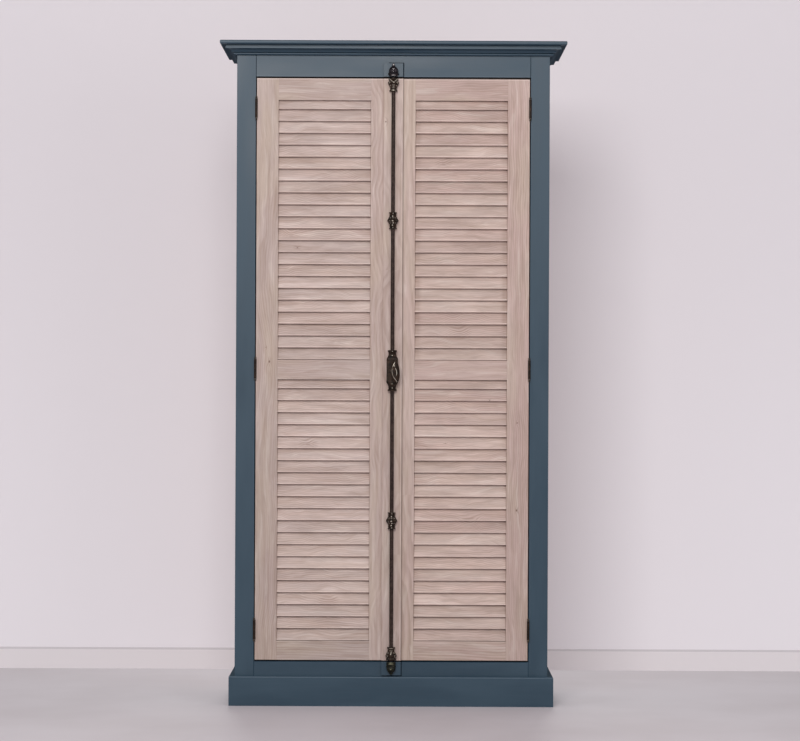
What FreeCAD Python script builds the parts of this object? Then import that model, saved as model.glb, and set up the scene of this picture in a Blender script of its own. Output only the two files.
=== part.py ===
import FreeCAD, Part
import math
import os

# A tall two-door cupboard: painted carcass and face frame, inset louvred doors in pine, a moulded
# cornice, a plinth, and a surface-mounted cremone bolt that runs the full height of the doors.
#
# Frame: +Z up, the front faces -Y, origin on the floor at the middle of the overall width and depth.
# All lengths are in millimetres, all angles in degrees.

Vec = FreeCAD.Vector
X_AXIS = Vec(1, 0, 0)
Y_AXIS = Vec(0, 1, 0)
Z_AXIS = Vec(0, 0, 1)

# ---------------------------------------------------------------- driving sizes: carcass
OVERALL_HEIGHT = 2100.0
BODY_WIDTH = 990.0
BODY_DEPTH = 400.0
SIDE_THICK = 20.0
BOARD_THICK = 18.0          # top, bottom and shelves
HOUSING_DEPTH = 6.0         # groove in a side that takes the end of a board
BACK_THICK = 12.0
BACK_REBATE = 10.0          # how far the back boards reach into each side
BACK_BOARD_COUNT = 8
BACK_FOOT = 60.0            # lower edge of the back boards above the floor
TOP_WELL = 12.0             # how far the cornice stands above the top board

# ---------------------------------------------------------------- driving sizes: cornice and plinth
CORNICE_HEIGHT = 42.0
CORNICE_REACH = 52.0
BEAD_REACH = 11.0
BEAD_HEIGHT = 7.0
COVE_START = 15.0
COVE_RISE = 10.0
FILLET_REACH = 34.5
FILLET_HEIGHT = 6.0
NOSING_HEIGHT = 12.0
NOSING_ROUND = 4.0
BEAD_QUIRK = 1.0            # plain step between the bead and the cove
COVE_QUIRK = 1.5            # plain step between the cove and the fillet
FILLET_QUIRK = 2.0          # how far the fillet stands out from the neck above it
COVE_DIP_REACH = 0.3        # deepest point of the cove, as shares of its reach and its rise
COVE_DIP_RISE = 0.7
PLINTH_HEIGHT = 93.0
PLINTH_THICK = 18.0
PLINTH_ROUND = 3.0

# ---------------------------------------------------------------- driving sizes: face frame
FRAME_STILE = 60.0
TOP_RAIL_SHOWN = 68.0       # top rail below the cornice
BOTTOM_RAIL_SHOWN = 47.0    # bottom rail above the plinth
BOTTOM_RAIL_HIDDEN = 35.0   # bottom rail behind the plinth
FRAME_TENON = 24.0
FRAME_TENON_THICK = 8.0
FRAME_SHOULDER = 10.0
TENON_END_GAP = 1.5         # glue space at the end of every tenon

# ---------------------------------------------------------------- driving sizes: doors
LEAF_THICK = 26.0
SIDE_GAP = 3.2              # hinge edge to frame stile, and it holds the hinge leaves
MEETING_GAP = 3.0
TOP_GAP = 4.0
BOTTOM_GAP = 4.0
DOOR_STILE = 69.0
DOOR_TOP_RAIL = 70.0
DOOR_MIDDLE_RAIL = 62.0
MIDDLE_RAIL_RISE = 2.5      # middle rail above the middle of the louvred height
DOOR_BOTTOM_RAIL = 61.0
DOOR_TENON = 36.0
DOOR_TENON_THICK = 8.0
DOOR_SHOULDER = 8.0
STOP_GAP = 0.5              # closed leaf to its stop strip
STOP_THICK = 12.0
STOP_OVERLAP = 12.0         # how far a stop strip stands into the opening
STOP_SEAT = 28.0            # height of the top strip glued to the back of the top rail

# ---------------------------------------------------------------- driving sizes: louvres
SLAT_COUNT = 22             # in each of the four banks
SLAT_WIDTH = 44.0
SLAT_THICK = 7.0
SLAT_TILT = 20.0            # from the vertical, lower edge to the front
SLAT_SET_BACK = 2.0         # front edge behind the face of the stiles
SLAT_SILL = 0.7             # lowest slat above the rail below it
SLAT_TOP_BAND = 28.4        # lower edge of the top slat below the rail above it
SLAT_TOP_PLAY = 0.5         # upper edge of the top slat below that rail
SLAT_SEAT = 8.0             # how far each end sits in its mortise
SLAT_FIT = 0.2              # clearance all round in the mortise
SLAT_EASE = 1.8             # arrises of the front edge taken off at 45 degrees

# ---------------------------------------------------------------- driving sizes: astragal and keeper blocks
ASTRAGAL_WIDTH = 62.0
ASTRAGAL_THICK = 8.0
ASTRAGAL_ROUND = 2.0
LAP_CLEARANCE = 0.5         # back of the astragal to the face of the right door
KEEPER_BLOCK_HEIGHT = 43.0

# ---------------------------------------------------------------- driving sizes: interior
SHELF_COUNT = 4
SHELF_SET_BACK = 25.0       # front of a shelf behind the closed doors
SHELF_PLAY = 1.0
CLEAT_SIZE = 18.0
CLEAT_SHORT = 20.0          # cleat stops short of the front of its shelf
GLUE_BLOCK_LEG = 32.0
GLUE_BLOCK_LENGTH = 90.0
GLUE_BLOCK_COUNT = 4

# ---------------------------------------------------------------- driving sizes: hinges
HINGE_HEIGHT = 60.0
HINGE_FROM_END = 96.0       # end of the leaf to the centre of the outer hinges
HINGE_COUNT = 3
BARREL_RADIUS = 4.0
BARREL_CLEAR = 0.4          # barrel to the face of the door
HINGE_LEAF_THICK = 1.4
HINGE_LEAF_DEPTH = 22.0
KNUCKLE_GAP = 0.3           # upper knuckle, on the door, above the lower knuckle on the frame
PIN_RADIUS = 2.0
PIN_SIDES = 12              # pins and their bores are many-sided, because they repeat so often
RUNNING_FIT = 0.05          # radial clearance of every turning or sliding shaft
PIN_OVERHANG = 8.0

# ---------------------------------------------------------------- driving sizes: cremone bolt
ROD_RADIUS = 6.0
ROD_STAND_OFF = 7.5         # rod centre in front of the astragal
ROD_END_SET = 1.0           # retracted rod tip beyond the end of the leaf
CASE_CENTRE_HEIGHT = 1061.0
CASE_HEIGHT = 129.0
CASE_DEPTH = 18.0
CASE_FLAT_HEIGHT = 84.0     # flat front between the shoulders
CASE_SHOULDER = 1.2         # the shoulder's slope below the full width
CASE_WALL = 3.4
CASE_HALF_CAVITY = 33.0
RACK_PLAY = 0.85            # back of a rack to the wall of the case
BACK_PLATE_THICK = 1.2
BACK_PLATE_FIT = 0.1
MODULE = 1.5
PINION_TEETH = 12
RACK_ADDENDUM_FACTOR = 0.65     # rack teeth beyond the pitch line, in modules
RACK_DEDENDUM_FACTOR = 1.0      # rack roots behind the pitch line, in modules
PINION_TIP_FACTOR = 0.75        # pinion teeth beyond the pitch circle, in modules
PINION_ROOT_FACTOR = 1.15       # pinion roots inside the pitch circle, in modules
PINION_ROOT_SHARE = 0.355       # half of a tooth's root, as a share of the angle between teeth
PINION_TIP_SHARE = 0.13         # half of a tooth's tip, as a share of the angle between teeth
RACK_TOOTH_EASE = 0.2           # taken off each flank of a rack tooth for backlash
RACK_FLANK_ANGLE = 20.0
KNOB_TURN = 90.0
GEAR_THICK = 7.0
RACK_BACK = 3.4             # solid bar behind the rack's tooth roots
FOOT_HEIGHT = 6.0           # block that joins a rack to its rod
FOOT_FROM_CENTRE = 12.0     # retracted foot to the pinion's centre
SPINDLE_RADIUS = 4.0
PIVOT_RADIUS = 3.0
PIVOT_END_GAP = 0.2         # end of the rear pivot to the astragal
SQUARE = 6.0                # squared end of the spindle in the knob
SQUARE_LENGTH = 8.0
KNOB_LENGTH = 72.0
KNOB_WIDTH = 30.0
KNOB_THICK = 21.0
KNOB_SIDE = 9.5             # middle of the oval to the right of its spindle
KNOB_DROP = 4.5             # middle of the oval below its spindle
KNOB_LEAN = 4.0             # top of the oval to the left
KNOB_COLLAR_RADIUS = 9.0
KNOB_COLLAR_LENGTH = 3.5
KNOB_CLEAR = 0.3            # knob's collar to the face of the case
LOWER_GUIDE_CENTRE = 587.0
UPPER_GUIDE_CENTRE = 1535.0
END_GUIDE_SET_BACK = 3.0    # end guide from the end of the leaf
KEEPER_SET = 0.8            # keeper from the edge of the opening
SOCKET_FIT = 0.4            # radial clearance of the rod in its keeper
SOCKET_SPARE = 2.5          # socket beyond the thrown rod's tip

# ---------------------------------------------------------------- driving sizes: outlines of the castings
# Each outline is half a width at a height, from the foot of the casting on the rod to its tip.
FLANGE_HALF = 12.7          # flange at the foot of a guide
GUIDE_HEIGHT = 52.0
GUIDE_FLANGE = 2.6
GUIDE_NECK_HALF = 10.3
GUIDE_NECK = 5.5            # neck begins
GUIDE_SWELL_HALF = 18.3     # point of the swelling, at half height
GUIDE_ROOT_HALF = 10.8
GUIDE_ROOT = 13.5           # swelling begins
END_GUIDE_HEIGHT = 40.0
END_GUIDE_FLANGE = 4.0
END_GUIDE_NECK_HALF = 10.9
END_GUIDE_NECK = 6.0
END_GUIDE_ROOT_HALF = 11.4
END_GUIDE_ROOT = 16.0
END_GUIDE_PETAL_HALF = 18.2
END_GUIDE_PETAL_LOW = 26.0
END_GUIDE_PETAL_HIGH = 28.5
END_GUIDE_WAIST_HALF = 15.6
END_GUIDE_WAIST = 32.0
END_GUIDE_CROWN_HALF = 15.9
TOP_KEEPER_NECK_HALF = 13.3
TOP_KEEPER_NECK = 2.0
TOP_KEEPER_FLARE_HALF = 18.0
TOP_KEEPER_FLARE_LOW = 7.0
TOP_KEEPER_FLARE_HIGH = 9.0
TOP_KEEPER_DOME_HALF = 15.0
TOP_KEEPER_DOME = 12.0
TOP_KEEPER_BELLY_HALF = 14.2
TOP_KEEPER_BELLY = 20.0
TOP_KEEPER_SHOULDER_HALF = 7.5
TOP_KEEPER_SHOULDER = 31.0
TOP_KEEPER_NIP_HALF = 3.2
TOP_KEEPER_NIP = 33.5
TOP_KEEPER_BUTTON_HALF = 4.2
TOP_KEEPER_BUTTON = 37.0
TOP_KEEPER_HEIGHT = 41.0
BOTTOM_KEEPER_RING_HALF = 14.8
BOTTOM_KEEPER_RING = 7.0
BOTTOM_KEEPER_QUIRK_HALF = 13.4
BOTTOM_KEEPER_QUIRK_LOW = 8.0
BOTTOM_KEEPER_QUIRK_HIGH = 9.5
BOTTOM_KEEPER_CUP_HALF = 15.4
BOTTOM_KEEPER_CUP_LOW = 10.5
BOTTOM_KEEPER_CUP_HIGH = 14.5
BOTTOM_KEEPER_BELLY_HALF = 12.6
BOTTOM_KEEPER_BELLY = 26.0
BOTTOM_KEEPER_TAPER_HALF = 3.4
BOTTOM_KEEPER_TAPER = 36.5
BOTTOM_KEEPER_HEIGHT = 40.0
KEEPER_TIP_HALF = 1.0
CASE_FLANGE_HALF = 14.5
CASE_FLANGE = 4.5
CASE_NECK_HALF = 11.9
CASE_NECK_LOW = 7.0
CASE_NECK_HIGH = 18.0
CASE_SHOULDER_LOW = 24.0
CASE_SHOULDER_HIGH = 27.5

# ---------------------------------------------------------------- worked out from the sizes above
FACE_Y = CORNICE_REACH - (BODY_DEPTH + CORNICE_REACH) / 2.0
BACK_Y = FACE_Y + BODY_DEPTH
FRAME_THICK = LEAF_THICK + STOP_GAP
FRAME_BACK_Y = FACE_Y + FRAME_THICK
LEAF_BACK_Y = FACE_Y + LEAF_THICK
HALF_BODY = BODY_WIDTH / 2.0
SIDE_INNER = HALF_BODY - SIDE_THICK
CARCASS_TOP = OVERALL_HEIGHT - TOP_WELL
FRAME_TOP = OVERALL_HEIGHT - CORNICE_HEIGHT
OPEN_TOP = FRAME_TOP - TOP_RAIL_SHOWN
OPEN_BOTTOM = PLINTH_HEIGHT + BOTTOM_RAIL_SHOWN
OPEN_HALF = HALF_BODY - FRAME_STILE
FLOOR_TOP = OPEN_BOTTOM
CEILING = CARCASS_TOP - BOARD_THICK
BACK_BOARD_Y = BACK_Y - BACK_THICK

LEAF_LEFT = -OPEN_HALF + SIDE_GAP
LEAF_RIGHT = -MEETING_GAP / 2.0
LEAF_BOTTOM = OPEN_BOTTOM + BOTTOM_GAP
LEAF_TOP = OPEN_TOP - TOP_GAP
BANK_LEFT = LEAF_LEFT + DOOR_STILE
BANK_RIGHT = LEAF_RIGHT - DOOR_STILE
LOWER_BANK_BOTTOM = LEAF_BOTTOM + DOOR_BOTTOM_RAIL
UPPER_BANK_TOP = LEAF_TOP - DOOR_TOP_RAIL
MIDDLE_RAIL_CENTRE = (LOWER_BANK_BOTTOM + UPPER_BANK_TOP) / 2.0 + MIDDLE_RAIL_RISE
LOWER_BANK_TOP = MIDDLE_RAIL_CENTRE - DOOR_MIDDLE_RAIL / 2.0
UPPER_BANK_BOTTOM = MIDDLE_RAIL_CENTRE + DOOR_MIDDLE_RAIL / 2.0

SLAT_HALF = SLAT_THICK / 2.0
TILT_COS = math.cos(math.radians(SLAT_TILT))
TILT_SIN = math.sin(math.radians(SLAT_TILT))
TOP_SLAT_WIDTH = SLAT_HALF + (SLAT_TOP_BAND - SLAT_TOP_PLAY - SLAT_HALF * (1 + TILT_SIN)) / TILT_COS

HINGE_AXIS_X = OPEN_HALF - SIDE_GAP / 2.0
HINGE_AXIS_Y = FACE_Y - BARREL_CLEAR - BARREL_RADIUS

SEAT_Y = FACE_Y - ASTRAGAL_THICK
ROD_Y = SEAT_Y - ROD_STAND_OFF
OCTAGON = math.sqrt(2.0) - 1.0      # half side of an octagon over half its width
ARC_MIDDLE = 1.0 - math.sqrt(0.5)   # middle of a quarter round from its corner, over its radius
PITCH_RADIUS = MODULE * PINION_TEETH / 2.0
TOOTH_PITCH = math.pi * MODULE
THROW = PITCH_RADIUS * math.radians(KNOB_TURN)
GEAR_HALF = GEAR_THICK / 2.0
RACK_TIP_OFFSET = PITCH_RADIUS - RACK_ADDENDUM_FACTOR * MODULE
RACK_ROOT_OFFSET = PITCH_RADIUS + RACK_DEDENDUM_FACTOR * MODULE
RACK_OUTER = RACK_ROOT_OFFSET + RACK_BACK
CAVITY_HALF_WIDTH = RACK_OUTER + RACK_PLAY
CASE_HALF_WIDTH = CAVITY_HALF_WIDTH + CASE_WALL
UPPER_TIP = LEAF_TOP + ROD_END_SET
LOWER_TIP = LEAF_BOTTOM - ROD_END_SET

NODES = {}


# ---------------------------------------------------------------- helpers
def block(x0, x1, y0, y1, z0, z1):
    """A box between two corners."""
    return Part.makeBox(x1 - x0, y1 - y0, z1 - z0, Vec(x0, y0, z0))


def mirrored(shape):
    """The same shape on the other side of the cabinet."""
    return shape.mirror(Vec(0, 0, 0), X_AXIS)


def face_from(start, steps, place):
    """A flat face from 2-D points: a step is a point, or a pair (point on the arc, end of the arc)."""
    edges = []
    here = start
    for step in steps + [start]:
        if isinstance(step[0], tuple):
            edges.append(Part.Arc(place(*here), place(*step[0]), place(*step[1])).toShape())
            here = step[1]
        elif step != here:
            edges.append(Part.LineSegment(place(*here), place(*step)).toShape())
            here = step
    return Part.Face(Part.Wire(edges))


def keep(name, *solids):
    """Store the solids of one named sub-part."""
    NODES[name] = list(solids)


def hinge_heights():
    """Centre heights of the hinges of a door."""
    low = LEAF_BOTTOM + HINGE_FROM_END
    high = LEAF_TOP - HINGE_FROM_END
    step = (high - low) / (HINGE_COUNT - 1)
    return [low + i * step for i in range(HINGE_COUNT)]


# ---------------------------------------------------------------- cornice and plinth
def cornice_profile():
    """Section of the cornice as (reach, height above its lower edge): bead, cove, fillet and nosing."""
    cove_low = BEAD_HEIGHT + BEAD_QUIRK
    cove_high = cove_low + COVE_RISE
    nose_low = CORNICE_HEIGHT - NOSING_HEIGHT
    lip = NOSING_ROUND * ARC_MIDDLE
    cove_dip = (COVE_START + COVE_DIP_REACH * (FILLET_REACH - COVE_START),
                cove_low + COVE_DIP_RISE * COVE_RISE)
    bead_root = BEAD_REACH - BEAD_HEIGHT / 2.0
    steps = [
        (bead_root, 0.0),
        ((BEAD_REACH, BEAD_HEIGHT / 2.0), (bead_root, BEAD_HEIGHT)),
        (bead_root, cove_low),
        (COVE_START, cove_low),
        (cove_dip, (FILLET_REACH - COVE_QUIRK, cove_high)),
        (FILLET_REACH, cove_high),
        (FILLET_REACH, cove_high + FILLET_HEIGHT),
        (FILLET_REACH - FILLET_QUIRK, cove_high + FILLET_HEIGHT),
        (FILLET_REACH - FILLET_QUIRK, nose_low),
        (CORNICE_REACH - NOSING_ROUND, nose_low),
        ((CORNICE_REACH - lip, nose_low + lip), (CORNICE_REACH, nose_low + NOSING_ROUND)),
        (CORNICE_REACH, CORNICE_HEIGHT - NOSING_ROUND),
        ((CORNICE_REACH - lip, CORNICE_HEIGHT - lip), (CORNICE_REACH - NOSING_ROUND, CORNICE_HEIGHT)),
        (0.0, CORNICE_HEIGHT),
    ]
    return (0.0, 0.0), steps


def plinth_profile():
    """Section of the plinth: a plain board with a rounded upper arris."""
    lip = PLINTH_ROUND * ARC_MIDDLE
    steps = [
        (PLINTH_THICK, 0.0),
        (PLINTH_THICK, PLINTH_HEIGHT - PLINTH_ROUND),
        ((PLINTH_THICK - lip, PLINTH_HEIGHT - lip), (PLINTH_THICK - PLINTH_ROUND, PLINTH_HEIGHT)),
        (0.0, PLINTH_HEIGHT),
    ]
    return (0.0, 0.0), steps


def mitred_lengths(profile, reach, foot):
    """Front, left return and right return of a moulding around the body, mitred at the front corners."""
    start, steps = profile
    outer = HALF_BODY + reach
    front = face_from(start, steps, lambda o, z: Vec(-outer, FACE_Y - o, foot + z))
    front = front.extrude(Vec(2 * outer, 0, 0))
    depth = BACK_Y - FACE_Y + reach
    side = face_from(start, steps, lambda o, z: Vec(-HALF_BODY - o, FACE_Y - reach, foot + z))
    left = side.extrude(Vec(0, depth, 0))
    height = max(z for _, z in [s[1] if isinstance(s[0], tuple) else s for s in steps])
    corners = [(-HALF_BODY, FACE_Y), (-outer, FACE_Y - reach), (outer, FACE_Y - reach), (HALF_BODY, FACE_Y)]
    wedge = Part.Face(Part.makePolygon([Vec(x, y, foot) for x, y in corners + corners[:1]]))
    wedge = wedge.extrude(Vec(0, 0, height))
    left = left.cut(wedge)
    return front.common(wedge).Solids[0], left.Solids[0], mirrored(left.Solids[0])


def build_mouldings():
    """Cornice and plinth."""
    front, left, right = mitred_lengths(cornice_profile(), CORNICE_REACH, FRAME_TOP)
    keep("cornice_front", front)
    keep("cornice_left_return", left)
    keep("cornice_right_return", right)
    front, left, right = mitred_lengths(plinth_profile(), PLINTH_THICK, 0.0)
    keep("plinth_front", front)
    keep("plinth_left_return", left)
    keep("plinth_right_return", right)


# ---------------------------------------------------------------- carcass
def build_carcass():
    """Sides with their housings and back rebate, top and bottom boards, back boards and glue blocks."""
    left = block(-HALF_BODY, -SIDE_INNER, FRAME_BACK_Y, BACK_Y, 0.0, CARCASS_TOP)
    rebate = block(-SIDE_INNER - BACK_REBATE, -SIDE_INNER, BACK_BOARD_Y, BACK_Y, BACK_FOOT, CARCASS_TOP)
    left = left.cut(rebate)
    board_end = SIDE_INNER + HOUSING_DEPTH
    boards = {}
    for name, top in (("bottom_board", FLOOR_TOP), ("top_board", CARCASS_TOP)):
        board = block(-board_end, board_end, FRAME_BACK_Y, BACK_BOARD_Y, top - BOARD_THICK, top)
        boards[name] = board
        left = left.cut(board)
    keep("left_side_panel", left)
    keep("right_side_panel", mirrored(left))
    for name, board in boards.items():
        keep(name, board)

    reach = SIDE_INNER + BACK_REBATE
    width = 2 * reach / BACK_BOARD_COUNT
    planks = []
    for i in range(BACK_BOARD_COUNT):
        x0 = -reach + i * width
        planks.append(block(x0, x0 + width, BACK_BOARD_Y, BACK_Y, BACK_FOOT, CARCASS_TOP))
    keep("back_boards", *planks)

    under = FLOOR_TOP - BOARD_THICK
    spacing = 2 * (SIDE_INNER - GLUE_BLOCK_LENGTH) / (GLUE_BLOCK_COUNT - 1)
    prisms = []
    for i in range(GLUE_BLOCK_COUNT):
        x0 = -SIDE_INNER + GLUE_BLOCK_LENGTH / 2.0 + i * spacing
        corner = Vec(x0, FRAME_BACK_Y, under)
        edge = Part.makePolygon([corner, corner + Vec(0, GLUE_BLOCK_LEG, 0),
                                 corner - Vec(0, 0, GLUE_BLOCK_LEG), corner])
        prisms.append(Part.Face(edge).extrude(Vec(GLUE_BLOCK_LENGTH, 0, 0)))
    keep("glue_blocks", *prisms)


def build_face_frame():
    """Two stiles and two rails with stub tenons, the keepers' blocks and the door stops."""
    stile = block(-HALF_BODY, -OPEN_HALF, FACE_Y, FRAME_BACK_Y, 0.0, CARCASS_TOP)
    middle_y = (FACE_Y + FRAME_BACK_Y) / 2.0
    tenon_y0 = middle_y - FRAME_TENON_THICK / 2.0
    tenon_y1 = middle_y + FRAME_TENON_THICK / 2.0
    rails = {
        "frame_top_rail": (OPEN_TOP, CARCASS_TOP),
        "frame_bottom_rail": (PLINTH_HEIGHT - BOTTOM_RAIL_HIDDEN, OPEN_BOTTOM),
    }
    for name, (z0, z1) in rails.items():
        rail = block(-OPEN_HALF, OPEN_HALF, FACE_Y, FRAME_BACK_Y, z0, z1)
        low = z0 + FRAME_SHOULDER
        high = z1 - FRAME_SHOULDER
        reach = OPEN_HALF + FRAME_TENON
        rail = rail.fuse(block(-reach, reach, tenon_y0, tenon_y1, low, high))
        keep(name, rail.removeSplitter().Solids[0])
        deep = reach + TENON_END_GAP
        stile = stile.cut(block(-deep, -OPEN_HALF, tenon_y0, tenon_y1, low, high))
    keep("left_frame_stile", stile)
    keep("right_frame_stile", mirrored(stile))

    half = ASTRAGAL_WIDTH / 2.0
    keep("top_keeper_block", block(-half, half, SEAT_Y, FACE_Y, OPEN_TOP, OPEN_TOP + KEEPER_BLOCK_HEIGHT))
    keep("bottom_keeper_block",
         block(-half, half, SEAT_Y, FACE_Y, OPEN_BOTTOM - KEEPER_BLOCK_HEIGHT, OPEN_BOTTOM))

    stops = {
        "door_stop_top": (OPEN_TOP - STOP_OVERLAP, OPEN_TOP + STOP_SEAT),
        "door_stop_bottom": (FLOOR_TOP, FLOOR_TOP + STOP_OVERLAP),
    }
    for name, (z0, z1) in stops.items():
        keep(name, block(-OPEN_HALF, OPEN_HALF, FRAME_BACK_Y, FRAME_BACK_Y + STOP_THICK, z0, z1))


def build_shelves():
    """Loose shelves on side cleats, evenly spaced between the bottom and top boards."""
    front = LEAF_BACK_Y + SHELF_SET_BACK
    clear = (CEILING - FLOOR_TOP - SHELF_COUNT * BOARD_THICK) / (SHELF_COUNT + 1)
    half = SIDE_INNER - SHELF_PLAY
    cleats = []
    for i in range(SHELF_COUNT):
        under = FLOOR_TOP + (i + 1) * clear + i * BOARD_THICK
        board = block(-half, half, front, BACK_BOARD_Y - SHELF_PLAY, under, under + BOARD_THICK)
        keep(f"shelf_{i + 1}", board)
        cleat = block(-SIDE_INNER, -SIDE_INNER + CLEAT_SIZE, front + CLEAT_SHORT, BACK_BOARD_Y,
                      under - CLEAT_SIZE, under)
        cleats += [cleat, mirrored(cleat)]
    keep("shelf_cleats", *cleats)


# ---------------------------------------------------------------- louvred doors
def tilted_board(outline, edge, x0, x1):
    """A tilted board from its section, given as pairs (along its width, across its thickness).

    The section is measured from the middle of the board's front edge, and edge is that edge's height.
    """
    y0 = FACE_Y + SLAT_SET_BACK + SLAT_HALF
    z0 = edge + SLAT_HALF
    corners = [(y0 + along * TILT_SIN - across * TILT_COS, z0 + along * TILT_COS + across * TILT_SIN)
               for along, across in outline]
    return face_from(corners[0], corners[1:], lambda y, z: Vec(x0, y, z)).extrude(Vec(x1 - x0, 0, 0))


def slat(width, edge, x0, x1):
    """One slat: a thin board with the arrises of its front edge eased."""
    half = SLAT_HALF
    ease = SLAT_EASE
    top = width - half
    outline = [(ease - half, half), (top, half), (top, -half), (ease - half, -half),
               (-half, ease - half), (-half, half - ease)]
    return tilted_board(outline, edge, x0, x1)


def slat_mortise(width, edge, x0, x1):
    """Square-cut slanted mortise that takes the end of a slat."""
    half = SLAT_HALF + SLAT_FIT
    top = width - SLAT_HALF + SLAT_FIT
    return tilted_board([(-half, half), (top, half), (top, -half), (-half, -half)], edge, x0, x1)


def bank_slats(bottom, top):
    """(width, height of the lower edge) of each slat of a bank; the top slat is ripped to fit the rail."""
    pitch = (top - bottom - SLAT_SILL - SLAT_TOP_BAND) / (SLAT_COUNT - 1)
    edges = [bottom + SLAT_SILL + i * pitch for i in range(SLAT_COUNT)]
    return [(SLAT_WIDTH, edge) for edge in edges[:-1]] + [(TOP_SLAT_WIDTH, edges[-1])]


def build_doors():
    """Left door: five frame members and two banks of slats. The right door is its mirror image."""
    middle_y = FACE_Y + LEAF_THICK / 2.0
    tenon_y0 = middle_y - DOOR_TENON_THICK / 2.0
    tenon_y1 = middle_y + DOOR_TENON_THICK / 2.0
    rails = {
        "bottom_rail": (LEAF_BOTTOM, LOWER_BANK_BOTTOM),
        "middle_rail": (LOWER_BANK_TOP, UPPER_BANK_BOTTOM),
        "top_rail": (UPPER_BANK_TOP, LEAF_TOP),
    }
    pieces = {}
    recesses = []
    deep = DOOR_TENON + TENON_END_GAP
    for name, (z0, z1) in rails.items():
        low = z0 + DOOR_SHOULDER
        high = z1 - DOOR_SHOULDER
        rail = block(BANK_LEFT, BANK_RIGHT, FACE_Y, LEAF_BACK_Y, z0, z1)
        tenons = block(BANK_LEFT - DOOR_TENON, BANK_RIGHT + DOOR_TENON, tenon_y0, tenon_y1, low, high)
        pieces[name] = [rail.fuse(tenons).removeSplitter().Solids[0]]
        recesses.append(block(BANK_LEFT - deep, BANK_RIGHT + deep, tenon_y0, tenon_y1, low, high))

    seat = SLAT_SEAT + SLAT_FIT
    banks = {
        "lower_louvres": (LOWER_BANK_BOTTOM, LOWER_BANK_TOP),
        "upper_louvres": (UPPER_BANK_BOTTOM, UPPER_BANK_TOP),
    }
    for name, (bottom, top) in banks.items():
        sizes = bank_slats(bottom, top)
        pieces[name] = [slat(w, z, BANK_LEFT - SLAT_SEAT, BANK_RIGHT + SLAT_SEAT) for w, z in sizes]
        recesses += [slat_mortise(w, z, BANK_LEFT - seat, BANK_RIGHT + seat) for w, z in sizes]

    stiles = {
        "hinge_stile": block(LEAF_LEFT, BANK_LEFT, FACE_Y, LEAF_BACK_Y, LEAF_BOTTOM, LEAF_TOP),
        "meeting_stile": block(BANK_RIGHT, LEAF_RIGHT, FACE_Y, LEAF_BACK_Y, LEAF_BOTTOM, LEAF_TOP),
    }
    for name, stile in stiles.items():
        pieces[name] = [stile.cut(Part.makeCompound(recesses)).Solids[0]]

    for name, solids in pieces.items():
        keep("left_door_" + name, *solids)
        keep("right_door_" + name, *[mirrored(s) for s in solids])


def build_astragal():
    """Cover strip on the left door; its back is relieved where it laps the right door."""
    half = ASTRAGAL_WIDTH / 2.0
    r = ASTRAGAL_ROUND
    lip = r * ARC_MIDDLE
    steps = [
        (-half, SEAT_Y + r),
        ((-half + lip, SEAT_Y + lip), (-half + r, SEAT_Y)),
        (half - r, SEAT_Y),
        ((half - lip, SEAT_Y + lip), (half, SEAT_Y + r)),
        (half, FACE_Y - LAP_CLEARANCE),
        (LEAF_RIGHT, FACE_Y - LAP_CLEARANCE),
        (LEAF_RIGHT, FACE_Y),
    ]
    section = face_from((-half, FACE_Y), steps, lambda x, y: Vec(x, y, LEAF_BOTTOM))
    keep("astragal", section.extrude(Vec(0, 0, LEAF_TOP - LEAF_BOTTOM)))


# ---------------------------------------------------------------- hinges
def pin_prism(radius, centre, half):
    """A many-sided upright prism on the left hinges' axis, with its corners at a radius."""
    turn = 2.0 * math.pi / PIN_SIDES
    corners = [Vec(radius * math.cos(k * turn) - HINGE_AXIS_X, radius * math.sin(k * turn) + HINGE_AXIS_Y,
                   centre - half) for k in range(PIN_SIDES)]
    return Part.Face(Part.makePolygon(corners + corners[:1])).extrude(Vec(0, 0, 2.0 * half))


def hinge_leaf(x_wood, inward, centre, upper):
    """One hinge leaf of the left door: a plate in the gap and one knuckle outside it.

    x_wood is the wood that the plate lies on, and inward is +1 or -1, towards the other leaf.
    """
    low = centre - HINGE_HEIGHT / 2.0
    back = FACE_Y + HINGE_LEAF_DEPTH
    x_free = x_wood + inward * HINGE_LEAF_THICK
    plate = block(min(x_wood, x_free), max(x_wood, x_free), FACE_Y, back, low, low + HINGE_HEIGHT)
    wood = x_wood + HINGE_AXIS_X
    free = x_free + HINGE_AXIS_X
    wood_y = math.sqrt(BARREL_RADIUS ** 2 - wood ** 2)
    free_y = math.sqrt(BARREL_RADIUS ** 2 - free ** 2)
    reach = back - HINGE_AXIS_Y
    steps = [(wood, wood_y), ((0.0, -BARREL_RADIUS), (free, free_y)), (free, reach)]
    tall = (HINGE_HEIGHT - KNUCKLE_GAP) / 2.0
    z0 = centre + KNUCKLE_GAP / 2.0 if upper else low
    wrap = face_from((wood, reach), steps, lambda x, y: Vec(x - HINGE_AXIS_X, HINGE_AXIS_Y + y, z0))
    flats = PIN_RADIUS + RUNNING_FIT
    bore = pin_prism(flats / math.cos(math.pi / PIN_SIDES), centre, HINGE_HEIGHT / 2.0)
    knuckle = wrap.extrude(Vec(0, 0, tall)).cut(bore)
    return plate.fuse(knuckle).removeSplitter().Solids[0]


def hinge_pin(centre):
    """Pin that stands out above the upper knuckle and below the lower one."""
    return pin_prism(PIN_RADIUS, centre, HINGE_HEIGHT / 2.0 + PIN_OVERHANG)


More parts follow.
